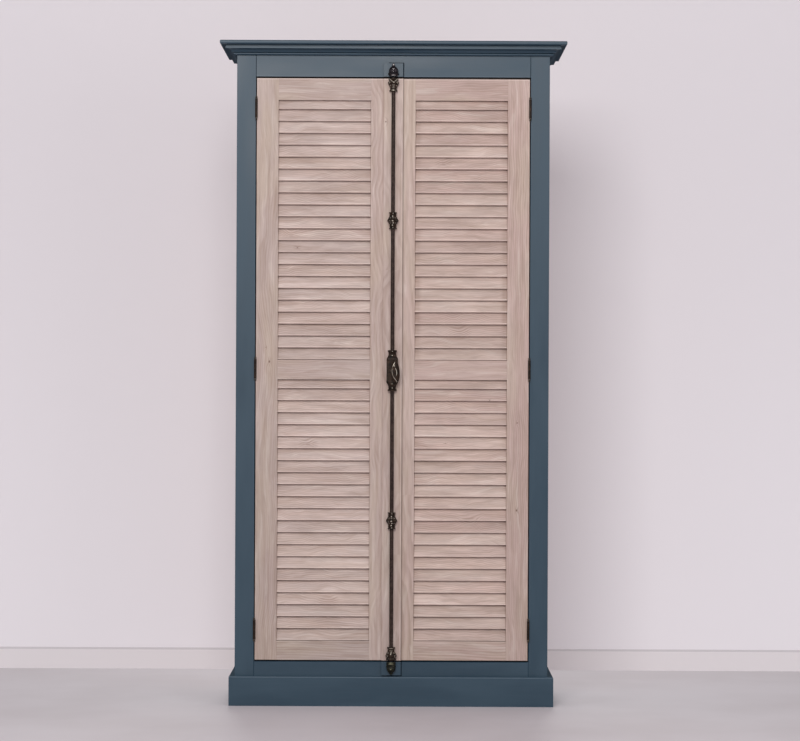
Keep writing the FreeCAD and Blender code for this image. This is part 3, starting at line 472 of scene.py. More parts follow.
@dataclass(frozen=True)
class PineFinish:
    """Limed pine: soft growth rings, fibres, streaks of lime and the odd knot."""

    name: str
    pale: Colour = srgb(204, 187, 177)
    warm: Colour = srgb(199, 173, 166)
    sand: Colour = srgb(198, 180, 165)
    dusk: Colour = srgb(172, 150, 138)
    late: Colour = srgb(148, 123, 110)
    lime: Colour = srgb(217, 203, 194)
    # painted highlight: pale lines on slat noses and on arrises that catch the light
    painted_highlight: Colour = srgb(232, 214, 205)
    # painted shade: dark lines in the gaps at the leaves' head and foot and beside the cover strip
    painted_shade: Colour = srgb(58, 46, 42)
    heart: Colour = srgb(96, 70, 58)
    ring: float = 6.4 * MM
    figure: float = 3.4
    sandy: float = 0.75
    contrast: float = 0.42
    spread: float = 0.05
    # painted light: how much lighter the upright boards are painted towards their heads
    painted_top_light: float = 0.0
    mottle: float = 0.65
    patchy: float = 0.0
    roughness: float = 0.62

    def make(self, along: Along, boards: Boards, knots: Sequence[Knot] = (), tone: float = 1.0,
             seams: Sequence[Seam] = ()) -> bpy.types.Material:
        """Build the material for boards whose grain runs one way.

        Args:
            along: The way that the grain runs.
            boards: How the boards are told apart.
            knots: Knots at stated places.
            tone: How light the board is beside its neighbours.
            seams: Lines on the board: painted shade and painted highlights.

        Returns:
            The finished material.
        """
        marks = f"{'_knots' if knots else ''}_{tone:.2f}{'_lines' if seams else ''}"
        graph = Graph(f"{self.name}_{along.name.lower()}_{boards.name.lower()}{marks}")
        spot = Spot.on(graph, along, boards, self.figure)
        late, heart, eye = self.rings(graph, spot, knots)
        ground, drift, streaks = self.ground(graph, spot)
        fibres = graph.clouds((spot.here * 26.0, spot.across * 1150.0, spot.through * 1150.0), 3.0, 0.65)
        flame = late * graph.largest(eye, graph.step(drift, 0.3, 0.68, 0.2, 1.0))
        colour = graph.mix(flame * self.contrast, ground, self.late)
        colour = graph.mix(graph.step(fibres, 0.30, 0.75, 0.16, 0.0), colour, self.late)
        # on the slats: painted highlight along the nose above 0, painted shade towards the ends below 0
        painted_light = graph.rub()
        colour = graph.mix(graph.step(painted_light, 0.1, 1.0, 0.0, 0.4), colour, self.painted_highlight)
        colour = graph.mix(graph.step(painted_light, -1.0, 0.0, 0.8, 0.0), colour, self.late)
        level = self.level(graph, spot, along, tone)
        colour = graph.mix(1.0, colour, graph.triple(level, level, level), "MULTIPLY")
        # seams lay lines of painted shade and painted highlights on the board
        for seam in seams:
            colour, _ = seam.over(graph, along, colour, self.painted_shade, self.painted_highlight)
        if knots:
            colour = graph.mix(heart, colour, self.heart)
        rough = graph.step(streaks, 0.2, 0.8, self.roughness - 0.07, self.roughness + 0.1)
        graph.dress(Base_Color=colour, Roughness=rough, Specular_IOR_Level=0.28)
        graph.relief(late * 0.55 + fibres * 0.45, 0.35 * MM, 0.55)
        return graph.material

    def rings(self, graph: Graph, spot: Spot, knots: Sequence[Knot]) -> tuple[Wire, Wire, Wire]:
        """Growth rings round a pith that wanders, so that they close into long flames along the board.

        Args:
            graph: The material's nodes.
            spot: The point on the board.
            knots: Knots that draw the rings aside.

        Returns:
            The late wood, the hearts of the knots, and where the rings stand out round a knot.
        """
        side = spot.across - (spot.second - 0.5) * 0.11 + spot.wander
        base = (spot.here + 100.0) % 0.9
        lean = (spot.third - 0.5) * 0.05
        deep = spot.through + (spot.third * 0.035 + 0.008) + (base * lean + spot.wander * 0.7)
        radius = graph.length(side, deep)
        heart = eye = spot.chance * 0.0
        for knot in knots:
            far = graph.length((spot.run - knot.along) / 1.5, spot.across - knot.across)
            radius = radius + graph.step(far, 0.0, knot.radius * 5.0, 1.0, 0.0) * (knot.radius * 1.6)
            heart = graph.largest(heart, graph.step(far, knot.radius * 0.45, knot.radius, knot.dark, 0.0))
            eye = graph.largest(eye, graph.step(far, knot.radius * 1.5, knot.radius * 5.5, 1.5, 0.0))
        wobble = (graph.clouds((spot.here * 14.0, spot.across * 90.0, spot.through), 2.0) - 0.5) * 0.5
        turn = graph.maths("FRACT", radius / self.ring + wobble)
        return graph.step(turn, 0.15, 0.8) * graph.step(turn, 0.8, 1.0, 1.0, 0.0), heart, eye

    def ground(self, graph: Graph, spot: Spot) -> tuple[Wire, Wire, Wire]:
        """The wood between the rings, with sandy stains and long streaks of lime.

        Args:
            graph: The material's nodes.
            spot: The point on the board.

        Returns:
            The colour, the slow drift of tone along the board, and the streaks.
        """
        here, across = spot.here, spot.across
        streaks = graph.clouds((here * 3.4, across * 95.0, spot.shift), 4.0, 0.6)
        flow = graph.clouds((here * 7.0, (across + spot.wander) * 62.0, spot.shift), 3.0, 0.5, 0.9)
        drift = graph.clouds((here * 1.8, across * 9.0, spot.third), 2.0)
        stain = graph.clouds((here * 3.1, across * 13.0, spot.second), 2.0)
        hue = graph.step(drift * self.mottle + spot.second * (1.0 - self.mottle), 0.3, 0.7)
        colour = graph.mix(hue, self.pale, self.warm)
        for share, tint in ((graph.step(stain, 0.42, 0.68, 0.0, self.sandy), self.sand),
                            (graph.step(streaks, 0.42, 0.75, 0.0, 0.58), self.dusk),
                            (graph.step(streaks, 0.25, 0.42, 0.55, 0.0), self.lime),
                            (graph.step(flow, 0.5, 0.68, 0.0, 0.42), self.dusk),
                            (graph.step(flow, 0.3, 0.46, 0.45, 0.0), self.lime)):
            colour = graph.mix(share, colour, tint)
        return colour, drift, streaks

    def level(self, graph: Graph, spot: Spot, along: Along, tone: float) -> Wire:
        """How light the wood is: the board's own tone, painted lighter towards its head where more light falls, with
        soft patches.

        Args:
            graph: The material's nodes.
            spot: The point on the board.
            along: The way that the grain runs.
            tone: How light the board is beside its neighbours.

        Returns:
            A factor for the colour.
        """
        level = graph.step(spot.chance, 0.0, 1.0, tone * (1.0 - self.spread), tone * (1.0 + self.spread))
        # painted light: upright boards grow lighter towards their heads
        if along is Along.HEIGHT and self.painted_top_light:
            level = level * graph.swing(spot.run, 0.1, 2.0, self.painted_top_light)
        if self.patchy:
            patches = graph.clouds((spot.here * 9.0, spot.across * 44.0, spot.second), 3.0, 0.6)
            level = level * graph.swing(patches, 0.3, 0.7, self.patchy)
        return level


@dataclass(frozen=True)
class PaintFinish:
    """Satin paint on wood, with brush marks along the board, painted highlights and painted shade along some arrises
    and gaps, and dust on the tops.
    """

    name: str
    colour: Colour = srgb(48, 70, 85)
    shade: Colour = srgb(41, 63, 78)
    bloom: Colour = srgb(63, 82, 97)
    # near black: open joints, and painted shade in the door gaps
    dark_line: Colour = srgb(9, 11, 15)
    # painted highlight on arrises that catch the light
    pale_mark: Colour = srgb(82, 99, 114)
    dust: Colour = srgb(112, 116, 120)
    roughness: float = 0.38
    specular: float = 0.42

    def make(self, along: Along, seams: Sequence[Seam] = ()) -> bpy.types.Material:
        """Build the paint for boards that were brushed one way.

        Args:
            along: The way that the brush ran.
            seams: Open joint lines, painted shade in the gaps and painted highlights on arrises.

        Returns:
            The finished material.
        """
        graph = Graph(f"{self.name}_{along.name.lower()}{'_seams' if seams else ''}")
        run, across, through = graph.here(along)
        here = run + graph.chance(Boards.OBJECT) * 9.7
        brush, patches, grain = (
            graph.clouds((here * length, across * fine, through * fine), detail, rough)
            for length, fine, detail, rough in ((5.0, 420.0, 4.0, 0.6), (3.0, 14.0, 3.0, 0.55),
                                                (22.0, 900.0, 2.0, 0.55)))
        colour = graph.mix(graph.step(patches, 0.3, 0.72), self.shade, self.colour)
        colour = graph.mix(graph.step(brush, 0.52, 0.85, 0.0, 0.3), colour, self.bloom)
        colour = graph.mix(graph.step(grain, 0.25, 0.45, 0.2, 0.0), colour, self.shade)
        dust = graph.step(graph.split(graph.geometry("Normal"))[2], 0.85, 0.98)
        colour = graph.mix(dust * 0.12, colour, self.dust)
        rough = graph.step(patches, 0.2, 0.8, self.roughness - 0.05, self.roughness + 0.09)
        rough = graph.largest(rough, dust * 0.85)
        gloss = graph.step(dust, 0.0, 1.0, self.specular, 0.04)
        # dark seams are open joints or painted shade and lose their sheen; pale seams are painted highlights
        for seam in seams:
            colour, inside = seam.over(graph, along, colour, self.dark_line, self.pale_mark)
            if not seam.paler:
                rough = graph.largest(rough, inside)
                gloss = (1.0 - inside) * gloss
        graph.dress(Base_Color=colour, Roughness=rough, Specular_IOR_Level=gloss)
        graph.relief(brush * 0.6 + grain * 0.4, 0.18 * MM, 0.4)
        return graph.material


@dataclass(frozen=True)
class BronzeFinish:
    """Dark patinated bronze, polished pale on what stands proud."""

    name: str
    dark: Colour = srgb(25, 18, 13)
    brown: Colour = srgb(56, 40, 30)
    paler: Colour = srgb(196, 186, 172)
    pale_mark: float = 1.0
    roughness: float = 0.42

    def make(self) -> bpy.types.Material:
        """Build the metal.

        Returns:
            The finished material.
        """
        graph = Graph(self.name)
        place = graph.here(Along.HEIGHT)
        blotches = graph.clouds(place, 4.0, 0.6, scale=95.0)
        specks = graph.clouds(place, 3.0, 0.6, scale=620.0)
        proud = graph.largest(graph.step(graph.geometry("Pointiness"), 0.53, 0.64, 0.0, 0.6),
                              graph.step(graph.rub(), 0.15, 0.85))
        rub = proud * graph.step(specks, 0.25, 0.55, 0.6, self.pale_mark)
        colour = graph.mix(graph.step(blotches, 0.35, 0.7), self.dark, self.brown)
        rough = graph.step(specks, 0.2, 0.8, self.roughness - 0.06, self.roughness + 0.1) - rub * 0.08
        graph.dress(Base_Color=graph.mix(rub * self.pale_mark, colour, self.paler), Roughness=rough,
                    Metallic=graph.step(rub, 0.0, 1.0, 0.35, 0.75), Specular_IOR_Level=0.22)
        graph.relief(blotches * 0.5 + specks * 0.5, 0.1 * MM, 0.4)
        return graph.material


@dataclass(frozen=True)
class SteelFinish:
    """Plain drawn steel for works that are hidden in the case, and for nails."""

    name: str
    colour: Colour = srgb(128, 126, 122)
    stain: Colour = srgb(88, 82, 76)

    def make(self) -> bpy.types.Material:
        """Build the metal.

        Returns:
            The finished material.
        """
        graph = Graph(self.name)
        run, across, through = graph.here(Along.HEIGHT)
        drawn = graph.clouds((run * 40.0, across * 1400.0, through * 1400.0))
        patches = graph.clouds((run, across, through), scale=140.0)
        graph.dress(Base_Color=graph.mix(graph.step(patches, 0.45, 0.75), self.colour, self.stain),
                    Roughness=graph.step(drawn, 0.2, 0.8, 0.32, 0.5), Metallic=0.95)
        graph.relief(drawn, 0.08 * MM, 0.4)
        return graph.material


# ---------------------------------------------------------------- meshes
class Shape:
    """Vertices and faces of one piece, gathered until the piece is made."""

    def __init__(self) -> None:
        """Start with nothing."""
        self.points: list[Vector] = []
        self.rubs: list[float] = []
        self.faces: list[tuple[int, ...]] = []

    def loop(self, points: Sequence[Vector], rubs: Sequence[float] = ()) -> list[int]:
        """Add a row of points.

        Args:
            points: The points in order.
            rubs: How brightly each point is rubbed, from 0 to 1; none if left out.

        Returns:
            The numbers of the points.
        """
        start = len(self.points)
        self.points.extend(points)
        self.rubs.extend(rubs or [0.0] * len(points))
        return list(range(start, start + len(points)))

    def band(self, first: Sequence[int], second: Sequence[int], closed: bool = True) -> None:
        """Join two rows of as many points by four-sided faces.

        Args:
            first: Numbers of the first row's points.
            second: Numbers of the second row's points.
            closed: Whether the rows run round to their starts.
        """
        count = len(first)
        for i in range(count if closed else count - 1):
            j = (i + 1) % count
            self.faces.append((first[i], first[j], second[j], second[i]))

    def cap(self, row: Sequence[int], flip: bool = False) -> None:
        """Close a row of points with one face."""
        self.faces.append(tuple(reversed(row)) if flip else tuple(row))

    def tube(self, rows: Sequence[Sequence[int]]) -> None:
        """Join closed rows of points in their order, and close both ends.

        Args:
            rows: Numbers of each row's points.
        """
        for first, second in zip(rows, rows[1:]):
            self.band(first, second)
        self.cap(rows[0], flip=True)
        self.cap(rows[-1])

    def piece(self, name: str, material: bpy.types.Material, body: str, crease: float) -> Mesh:
        """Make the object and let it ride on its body.

        Args:
            name: Name of the piece.
            material: Its finish.
            body: The body that it moves with.
            crease: Angle in degrees above which an edge stays sharp.

        Returns:
            The new object.
        """
        mesh = bpy.data.meshes.new(name)
        mesh.from_pydata([tuple(p) for p in self.points], [], self.faces)
        mesh.materials.append(material)
        if any(self.rubs):
            mesh.attributes.new(RUB, "FLOAT", "POINT").data.foreach_set("value", self.rubs)
        mesh.validate()
        for polygon in mesh.polygons:
            polygon.use_smooth = True
        mesh.set_sharp_from_angle(angle=math.radians(crease))
        thing = bpy.data.objects.new(name, mesh)
        bpy.context.scene.collection.objects.link(thing)
        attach(thing, body)
        LOG.info("piece %s rides on %s with %d faces", name, body, len(self.faces))
        return thing


def add_lathe(shape: Shape, centre: Vector, axis: Vector, outline: Sequence[Point], segments: int = 20) -> None:
    """Add a turned form to a shape.

    Args:
        shape: The shape to add to.
        centre: Where the outline starts.
        axis: Direction in which the outline runs.
        outline: Pairs (distance along the axis, radius); a radius of 0 closes an end.
        segments: Faces round the form.
    """
    side = axis.orthogonal().normalized()
    other = axis.cross(side)
    row_before: list[int] = []
    for distance, radius in outline:
        middle = centre + axis * distance
        row = shape.loop([middle + (side * math.cos(t) + other * math.sin(t)) * max(radius, 1e-5)
                          for t in (2 * math.pi * k / segments for k in range(segments))])
        if row_before:
            shape.band(row_before, row)
        else:
            shape.cap(row, flip=True)
        row_before = row
    shape.cap(row_before)


def dome(radius: float, height: float, steps: int = 3) -> list[Point]:
    """Outline of a shallow domed head, from its rim to its middle.

    Args:
        radius: Radius of its rim.
        height: Height of its crown.
        steps: Facets from the rim to the middle.

    Returns:
        Pairs (distance along the axis, radius).
    """
    outline = [(-height * 0.5, radius), (0.0, radius)]
    for k in range(1, steps + 1):
        angle = math.pi / 2 * k / steps
        outline.append((height * math.sin(angle), radius * math.cos(angle)))
    return outline


# ---------------------------------------------------------------- sizes that the pieces share
@dataclass(frozen=True)
class Plan:
    """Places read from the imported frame."""

    face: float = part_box("left_door_hinge_stile")[0].y
    seat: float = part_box("astragal")[0].y
    leaf_bottom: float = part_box("left_door_hinge_stile")[0].z
    leaf_top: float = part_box("left_door_hinge_stile")[1].z
    rod_stand_off: float = 7.5 * MM

    @property
    def rod_y(self) -> float:
        """Centre line of the rods."""
        return self.seat - self.rod_stand_off


PLAN = Plan()


# ---------------------------------------------------------------- carried-over boards
class Board:
    """A CAD node that keeps its own mesh and gets softened arrises and a finish."""

    sharp: float = math.radians(30.0)
    flat_weight: int = 80

    @classmethod
    def dress(cls, node: str, material: bpy.types.Material, arris: float = 0.9 * MM, segments: int = 2) -> None:
        """Soften the arrises with modifiers and give the node its finish.

        Args:
            node: Name of the CAD node.
            material: The finish.
            arris: Width of the softened arris; 0 leaves the edges as they are.
            segments: Facets across the arris.
        """
        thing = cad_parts[node]
        for slot in thing.material_slots:
            slot.material = material
        weld = thing.modifiers.new("weld", "WELD")
        weld.merge_threshold = 1e-6
        if arris:
            bevel = thing.modifiers.new("arris", "BEVEL")
            bevel.width = arris
            bevel.segments = segments
            bevel.limit_method = "ANGLE"
            bevel.angle_limit = cls.sharp
            bevel.use_clamp_overlap = True
        shading = thing.modifiers.new("shading", "WEIGHTED_NORMAL")
        shading.weight = cls.flat_weight
        LOG.info("node %s wears %s", node, material.name)


@dataclass
class Carcass:
    """The painted case with its cornice, plinth and face frame, and the bare boards inside."""

    paint: PaintFinish
    bare: PineFinish
    arris: float = 1.0 * MM
    seam: float = 0.45 * MM
    dark_line: float = 2.6 * MM
    joint: float = 1.6 * MM
    play: float = 3.2 * MM
    planks: int = 8
    nail_stand: float = 0.55 * MM
    plinth_highlight: float = 2.6 * MM
    chamfer: float = 1.4 * MM
    plank_gap: float = 0.3 * MM
    overrun: float = 0.2
    # bands beside the door opening: a painted highlight above the head, painted shade below the foot
    upper_arris: tuple[float, float] = (0.6 * MM, 3.4 * MM)
    lower_arris: tuple[float, float] = (-1.8 * MM, -0.2 * MM)
    upper_joint: float = 0.75
    lower_joint: float = 0.3

    def dress(self) -> None:
        """Finish every node of the carcass."""
        tall, wide = self.paint.make(Along.HEIGHT), self.paint.make(Along.WIDTH)
        deep = replace(self.paint, name="return_paint", roughness=0.7, specular=0.08).make(Along.DEPTH)
        # painted shade: the door stop at the head is painted near black for the shadow in the gap above the leaves
        shade = replace(self.paint, name="stop_paint", colour=self.paint.dark_line, shade=self.paint.dark_line,
                        bloom=self.paint.shade).make(Along.WIDTH)
        top_rail, bottom_rail = (self.paint.make(Along.WIDTH, self.block_seams(f"{end}_keeper_block", end == "top"))
                                 for end in ("top", "bottom"))
        low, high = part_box("plinth_front")
        # painted highlight along the plinth's top arris
        rub = Seam(low.x, high.x, high.z - self.plinth_highlight, high.z + 0.1 * MM, 0.5, paler=True)
        across = self.bare.make(Along.WIDTH, Boards.OBJECT)
        for nodes, material, arris in (
            (("left_frame_stile", "right_frame_stile", "left_side_panel", "right_side_panel"), tall, self.seam),
            (("frame_top_rail",), top_rail, self.seam),
            (("frame_bottom_rail",), bottom_rail, self.seam),
            (("door_stop_top",), shade, self.seam),
            (("door_stop_bottom", "cornice_front"), wide, self.seam),
            (("plinth_front",), self.paint.make(Along.WIDTH, (rub,)), self.seam),
            (("cornice_left_return", "cornice_right_return", "plinth_left_return", "plinth_right_return"), deep,
             self.seam),
            (("top_keeper_block", "bottom_keeper_block"), tall, self.arris),
            (("top_board", "bottom_board", "shelf_1", "shelf_2", "shelf_3", "shelf_4"), across, self.arris),
            (("glue_blocks",), self.bare.make(Along.WIDTH, Boards.ISLAND), self.arris),
            (("shelf_cleats",), self.bare.make(Along.DEPTH, Boards.ISLAND), self.arris),
        ):
            for node in nodes:
                Board.dress(node, material, arris)
        self.build_planks(self.bare.make(Along.HEIGHT, Boards.ISLAND))

    def block_seams(self, node: str, above: bool) -> tuple[Seam, ...]:
        """Dark lines along the end and the right-hand side of a keeper block and at the rail's joints, with painted
        shade and a painted highlight at the rebate.

        Args:
            node: Name of the block's node.
            above: True if its free end is the upper one.

        Returns:
            The lines on the rail.
        """
        low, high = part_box(node)
        end = (high.z, high.z + self.dark_line) if above else (low.z - self.dark_line, low.z)
        mouth = low.z if above else high.z
        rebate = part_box("left_door_hinge_stile")[0].x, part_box("right_door_hinge_stile")[1].x
        arris, joint = (self.upper_arris, self.upper_joint) if above else (self.lower_arris, self.lower_joint)
        ends = rebate[0] - self.play, rebate[1] + self.play
        upright = low.z - self.overrun, high.z + self.overrun
        return (Seam(ends[0], ends[0] + self.joint, *upright, joint),
                Seam(ends[1] - self.joint, ends[1], *upright, joint),
                Seam(low.x * 0.45, high.x + self.dark_line, *end),
                Seam(high.x, high.x + self.dark_line, low.z - self.dark_line, high.z + self.dark_line),
                # at the head a painted highlight on the rail's lower arris; at the foot painted shade below the gap
                Seam(*rebate, mouth + arris[0], mouth + arris[1], 0.3, paler=above),
                # painted shade on the rail's face inside the gap: black at the head, darkened at the sill
                Seam(*rebate, mouth - 0.1 * MM, mouth + 0.1 * MM, 1.0 if above else 0.25))

    def build_planks(self, material: bpy.types.Material) -> None:
        """The back in eight planks with chamfered joints, just behind the nail heads' crowns.

        Args:
            material: The finish.
        """
        low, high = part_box("back_boards")
        front, rear, cut = low.y, high.y - self.nail_stand, self.chamfer
        width = (high.x - low.x) / self.planks
        shape = Shape()
        for k in range(self.planks):
            left, right = (low.x + edge * width - side * self.plank_gap / 2.0 for edge, side in ((k, -1), (k + 1, 1)))
            outline = [(left, front + cut), (left + cut, front), (right - cut, front), (right, front + cut),
                       (right, rear - cut), (right - cut, rear), (left + cut, rear), (left, rear - cut)]
            shape.tube([shape.loop([Vector((x, y, z)) for x, y in outline]) for z in (low.z, high.z)])
        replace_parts(shape.piece("back_planks", material, "cabinet", 20.0), "back_boards")


@dataclass
class Doors:
    """Frame members of the two doors, their slats and the cover strip between them."""

    left_pine: PineFinish
    right_pine: PineFinish
    slat_count: int = 22
    slat_width: float = 44.0 * MM
    slat_thick: float = 7.0 * MM
    slat_tilt: float = math.radians(20.0)
    slat_set_back: float = 2.0 * MM
    sill: float = 0.7 * MM
    top_band: float = 28.4 * MM
    top_play: float = 0.5 * MM
    nose_round: float = 1.1 * MM
    tail_round: float = 0.8 * MM
    stations: int = 14
    arris: float = 0.5 * MM
    tenon: float = 8.0 * MM
    # painted shade at the slats' ends: full in the tenon, then over the shoulder, then fading along the slat
    painted_shade: float = 2.4 * MM
    end_shade_reach: tuple[float, float] = (9.0 * MM, 24.0 * MM)
    # painted shade in the gaps at each leaf's head and foot, painted highlights below the head and along the cover
    # strip, and the cover strip's painted shadow
    left_gap: float = 1.4 * MM
    other_gap: float = 2.4 * MM
    skin: float = 0.7 * MM
    bow: float = 0.25 * MM
    ripple: float = 0.08 * MM
    facets: int = 4
    head_highlight: tuple[float, float] = (3.2 * MM, 0.3 * MM)
    foot_gap: float = 0.8 * MM
    cover_shadow: float = 4.0 * MM
    cover_highlight: tuple[float, float] = (4.4 * MM, 1.2 * MM)
    # painted highlight along each slat's nose: how far it reaches and how wide it fades
    highlight_reach: float = 1.8 * MM
    highlight_fade: float = 1.6 * MM
    # how light each member is; the two bottom rails are darker as painted shade near the floor
    tones_and_shade: dict[str, float] = field(default_factory=lambda: {
        "left_door_hinge_stile": 0.88, "right_door_hinge_stile": 0.97, "left_door_meeting_stile": 1.04,
        "left_door_bottom_rail": 0.85, "right_door_bottom_rail": 0.86, "right_door_middle_rail": 0.92,
        "left_door_top_rail": 1.02, "astragal": 0.93})
    slat_tones: dict[str, float] = field(default_factory=lambda: {"left": 1.06, "right": 1.02})
    # strength of the painted shade at the slats' ends, by side and bank
    slat_end_shade: dict[tuple[str, str], float] = field(default_factory=lambda: {
        ("left", "lower"): 0.12, ("left", "upper"): 0.12, ("right", "lower"): 0.2, ("right", "upper"): 0.42})
    knots_left: tuple[Knot, ...] = (Knot(1.088, -0.389, 3.4 * MM), Knot(1.133, -0.400, 1.6 * MM))
    knots_cover: tuple[Knot, ...] = (Knot(1.848, -0.0235, 2.6 * MM),)
    knots_right: tuple[Knot, ...] = (Knot(0.62, 0.395, 3.2 * MM), Knot(0.897, 0.396, 2.4 * MM))
    slat_knots: dict[tuple[str, str], tuple[Knot, ...]] = field(default_factory=lambda: {
        ("left", "lower"): (Knot(-0.265, 0.826, 6.0 * MM, 0.12), Knot(-0.2, 0.33, 6.5 * MM, 0.0)),
        ("left", "upper"): (Knot(-0.302, 1.449, 2.6 * MM, 0.55), Knot(-0.322, 1.487, 6.5 * MM, 0.1)),
        ("right", "lower"): (Knot(0.309, 0.968, 1.8 * MM), Knot(0.169, 0.832, 1.5 * MM),
                             Knot(0.213, 0.951, 8.0 * MM, 0.0), Knot(0.25, 0.58, 7.0 * MM, 0.0)),
        ("right", "upper"): (Knot(0.213, 1.18, 7.5 * MM, 0.0), Knot(0.16, 1.715, 6.0 * MM, 0.12))})

    def dress(self) -> None:
        """Finish the frame members, and make the four banks of slats."""
        for side, pine, knots in (("left", self.left_pine, self.knots_left),
                                  ("right", self.right_pine, self.knots_right)):
            for member in ("bottom_rail", "middle_rail", "top_rail", "meeting_stile", "hinge_stile"):
                node = f"{side}_door_{member}"
                along = Along.WIDTH if member.endswith("rail") else Along.HEIGHT
                marks = knots if member == "hinge_stile" else ()
                board = pine.make(along, Boards.OBJECT, marks, self.tones_and_shade.get(node, 1.0), self.lines(node))
                Board.dress(node, board, self.arris)
            slats = replace(pine, name=f"{pine.name}_slats", figure=7.0, ring=5.2 * MM, spread=0.06, sandy=0.22,
                            mottle=0.85, patchy=0.085, contrast=0.46)
            for bank in ("lower", "upper"):
                board = slats.make(Along.WIDTH, Boards.ISLAND, self.slat_knots[side, bank], self.slat_tones[side])
                self.build_bank(side, bank, board)
        cover = self.left_pine.make(Along.HEIGHT, Boards.OBJECT, self.knots_cover, self.tones_and_shade["astragal"],
                                    self.lines("astragal"))
        Board.dress("astragal", cover, self.arris)

    def lines(self, node: str) -> tuple[Seam, ...]:
        """Lines of painted shade and painted highlight on a member of a door.

        Args:
            node: Name of its node.

        Returns:
            The lines at the head and foot of the leaf, and beside the cover strip.
        """
        low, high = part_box(node)
        top, foot = PLAN.leaf_top, PLAN.leaf_bottom
        shade = self.left_gap if node.startswith("left") else self.other_gap
        skin = PLAN.face + self.skin
        lines: list[Seam] = []
        if high.z > top - MM:
            # painted shade in the gap above the leaf, and a painted highlight on the arris below it
            lines += [Seam(low.x, high.x, top - shade, top + MM, 0.9, reach=skin),
                      Seam(low.x, high.x, *(top - shade - below for below in self.head_highlight), 0.45, True, skin)]
        if low.z < foot + MM:
            # painted shade in the gap below the leaf
            lines.append(Seam(low.x, high.x, foot - MM, foot + self.foot_gap, 0.6, reach=skin))
        if node == "right_door_meeting_stile":
            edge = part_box("astragal")[1].x
            # painted shadow of the cover strip on the right leaf
            lines.append(Seam(edge - MM, edge + self.cover_shadow, low.z, top - shade, 0.24))
        if node == "astragal":
            # painted shade at the cover strip's right edge, and a painted highlight just inside it
            lines += [Seam(high.x - MM, high.x + MM, low.z, top, 0.24),
                      Seam(*(high.x - inward for inward in self.cover_highlight), low.z, top, 0.22, paler=True)]
        return tuple(lines)

    def section(self, width: float) -> list[Point]:
        """Section of a slat with rounded edges, as pairs (along its width, across its thickness).

        Args:
            width: Width of the slat.

        Returns:
            The closed outline, measured from the middle of the front edge's round.
        """
        half = self.slat_thick / 2.0
        outline: list[Point] = []
        lip = self.highlight_reach - half
        for corner_along, corner_across, radius, start in (
            (-half, -half, self.tail_round, 180.0), (width - half, -half, self.tail_round, 270.0),
            (width - half, half, self.tail_round, 0.0), (-half, half, self.nose_round, 90.0),
        ):
            centre_along = corner_along + radius * (1 if corner_along < 0 else -1)
            centre_across = corner_across + radius * (1 if corner_across < 0 else -1)
            for k in range(self.facets + 1):
                angle = math.radians(start + 90.0 * k / self.facets)
                outline.append((centre_along + radius * math.cos(angle), centre_across + radius * math.sin(angle)))
        front = len(outline) - self.facets - 1
        # two extra points on the front face bound the painted highlight along the nose
        return outline[:front] + [(lip + self.highlight_fade, half), (lip, half)] + outline[front:]

    def stops(self, left: float, right: float, end_shade_share: float) -> list[tuple[float, float]]:
        """Stations along a slat, close together where it enters the stiles.

        Args:
            left: Its left end.
            right: Its right end.
            end_shade_share: How strong the painted shade at the ends of the slats in this bank is, from 0 to 1.

        Returns:
            Pairs of the place and how much painted shade lies there.
        """
        shoulder = self.tenon + self.painted_shade
        ends = [(0.0, 1.0), (self.tenon, 1.0), (shoulder, end_shade_share), (shoulder + self.end_shade_reach[0], end_shade_share),
                (shoulder + self.end_shade_reach[1], 0.0)]
        first, last = left + ends[-1][0], right - ends[-1][0]
        middle = [(first + (last - first) * k / self.stations, 0.0) for k in range(1, self.stations)]
        return sorted([(left + place, painted_shade) for place, painted_shade in ends] +
                      [(right - place, painted_shade) for place, painted_shade in ends] + middle)

    def build_bank(self, side: str, bank: str, material: bpy.types.Material) -> None:
        """Make one bank of slats in place of its CAD node.

        Args:
            side: Left or right.
            bank: Lower or upper.
            material: The finish.
        """
        node = f"{side}_door_{bank}_louvres"
        low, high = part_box(node)
        draw, draw_ends = random.Random(node), random.Random(f"{node}_ends")
        shape = Shape()
        half = self.slat_thick / 2.0
        sine, cosine = math.sin(self.slat_tilt), math.cos(self.slat_tilt)
        below, above = ("bottom_rail", "middle_rail") if bank == "lower" else ("middle_rail", "top_rail")
        bottom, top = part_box(f"{side}_door_{below}")[1].z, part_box(f"{side}_door_{above}")[0].z
        pitch = (top - bottom - self.sill - self.top_band) / (self.slat_count - 1)
        ripped = half + (self.top_band - self.top_play - half * (1.0 + sine)) / cosine
        y0 = PLAN.face + self.slat_set_back + half
        for i in range(self.slat_count):
            width = self.slat_width if i < self.slat_count - 1 else ripped
            z0 = bottom + self.sill + i * pitch + half
            bow = draw.uniform(-self.bow, self.bow)
            phase = draw.uniform(0.0, math.tau)
            section = self.section(width)
            rows = []
            for x, painted_shade in self.stops(low.x, high.x, self.slat_end_shade[side, bank] * draw_ends.uniform(0.4, 1.3)):
                share = (x - low.x) / (high.x - low.x)
                lift = bow * math.sin(math.pi * share) + self.ripple * math.sin(3.0 * math.pi * share + phase)
                points = [Vector((x, y0 + a * sine - c * cosine, z0 + lift + a * cosine + c * sine))
                          for a, c in section]
                # the mark is 1 for the painted highlight along the nose, and minus the painted shade towards the ends
                rows.append(shape.loop(points, [
                    1.0 if a <= self.highlight_reach - half and c > 0.0 and painted_shade < 1.0 else -painted_shade for a, c in section]))
            shape.tube(rows)
        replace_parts(shape.piece(f"{side}_{bank}_slats", material, f"{side}_door", 50.0), node)


# ---------------------------------------------------------------- castings of the bolt
@dataclass(frozen=True)
class Ring:
    """One level of a casting's outline: height from its foot, half width, and depth of its front."""

    height: float
    half: float
    depth: float
    square: float = 2.0
    rub: float = 0.0


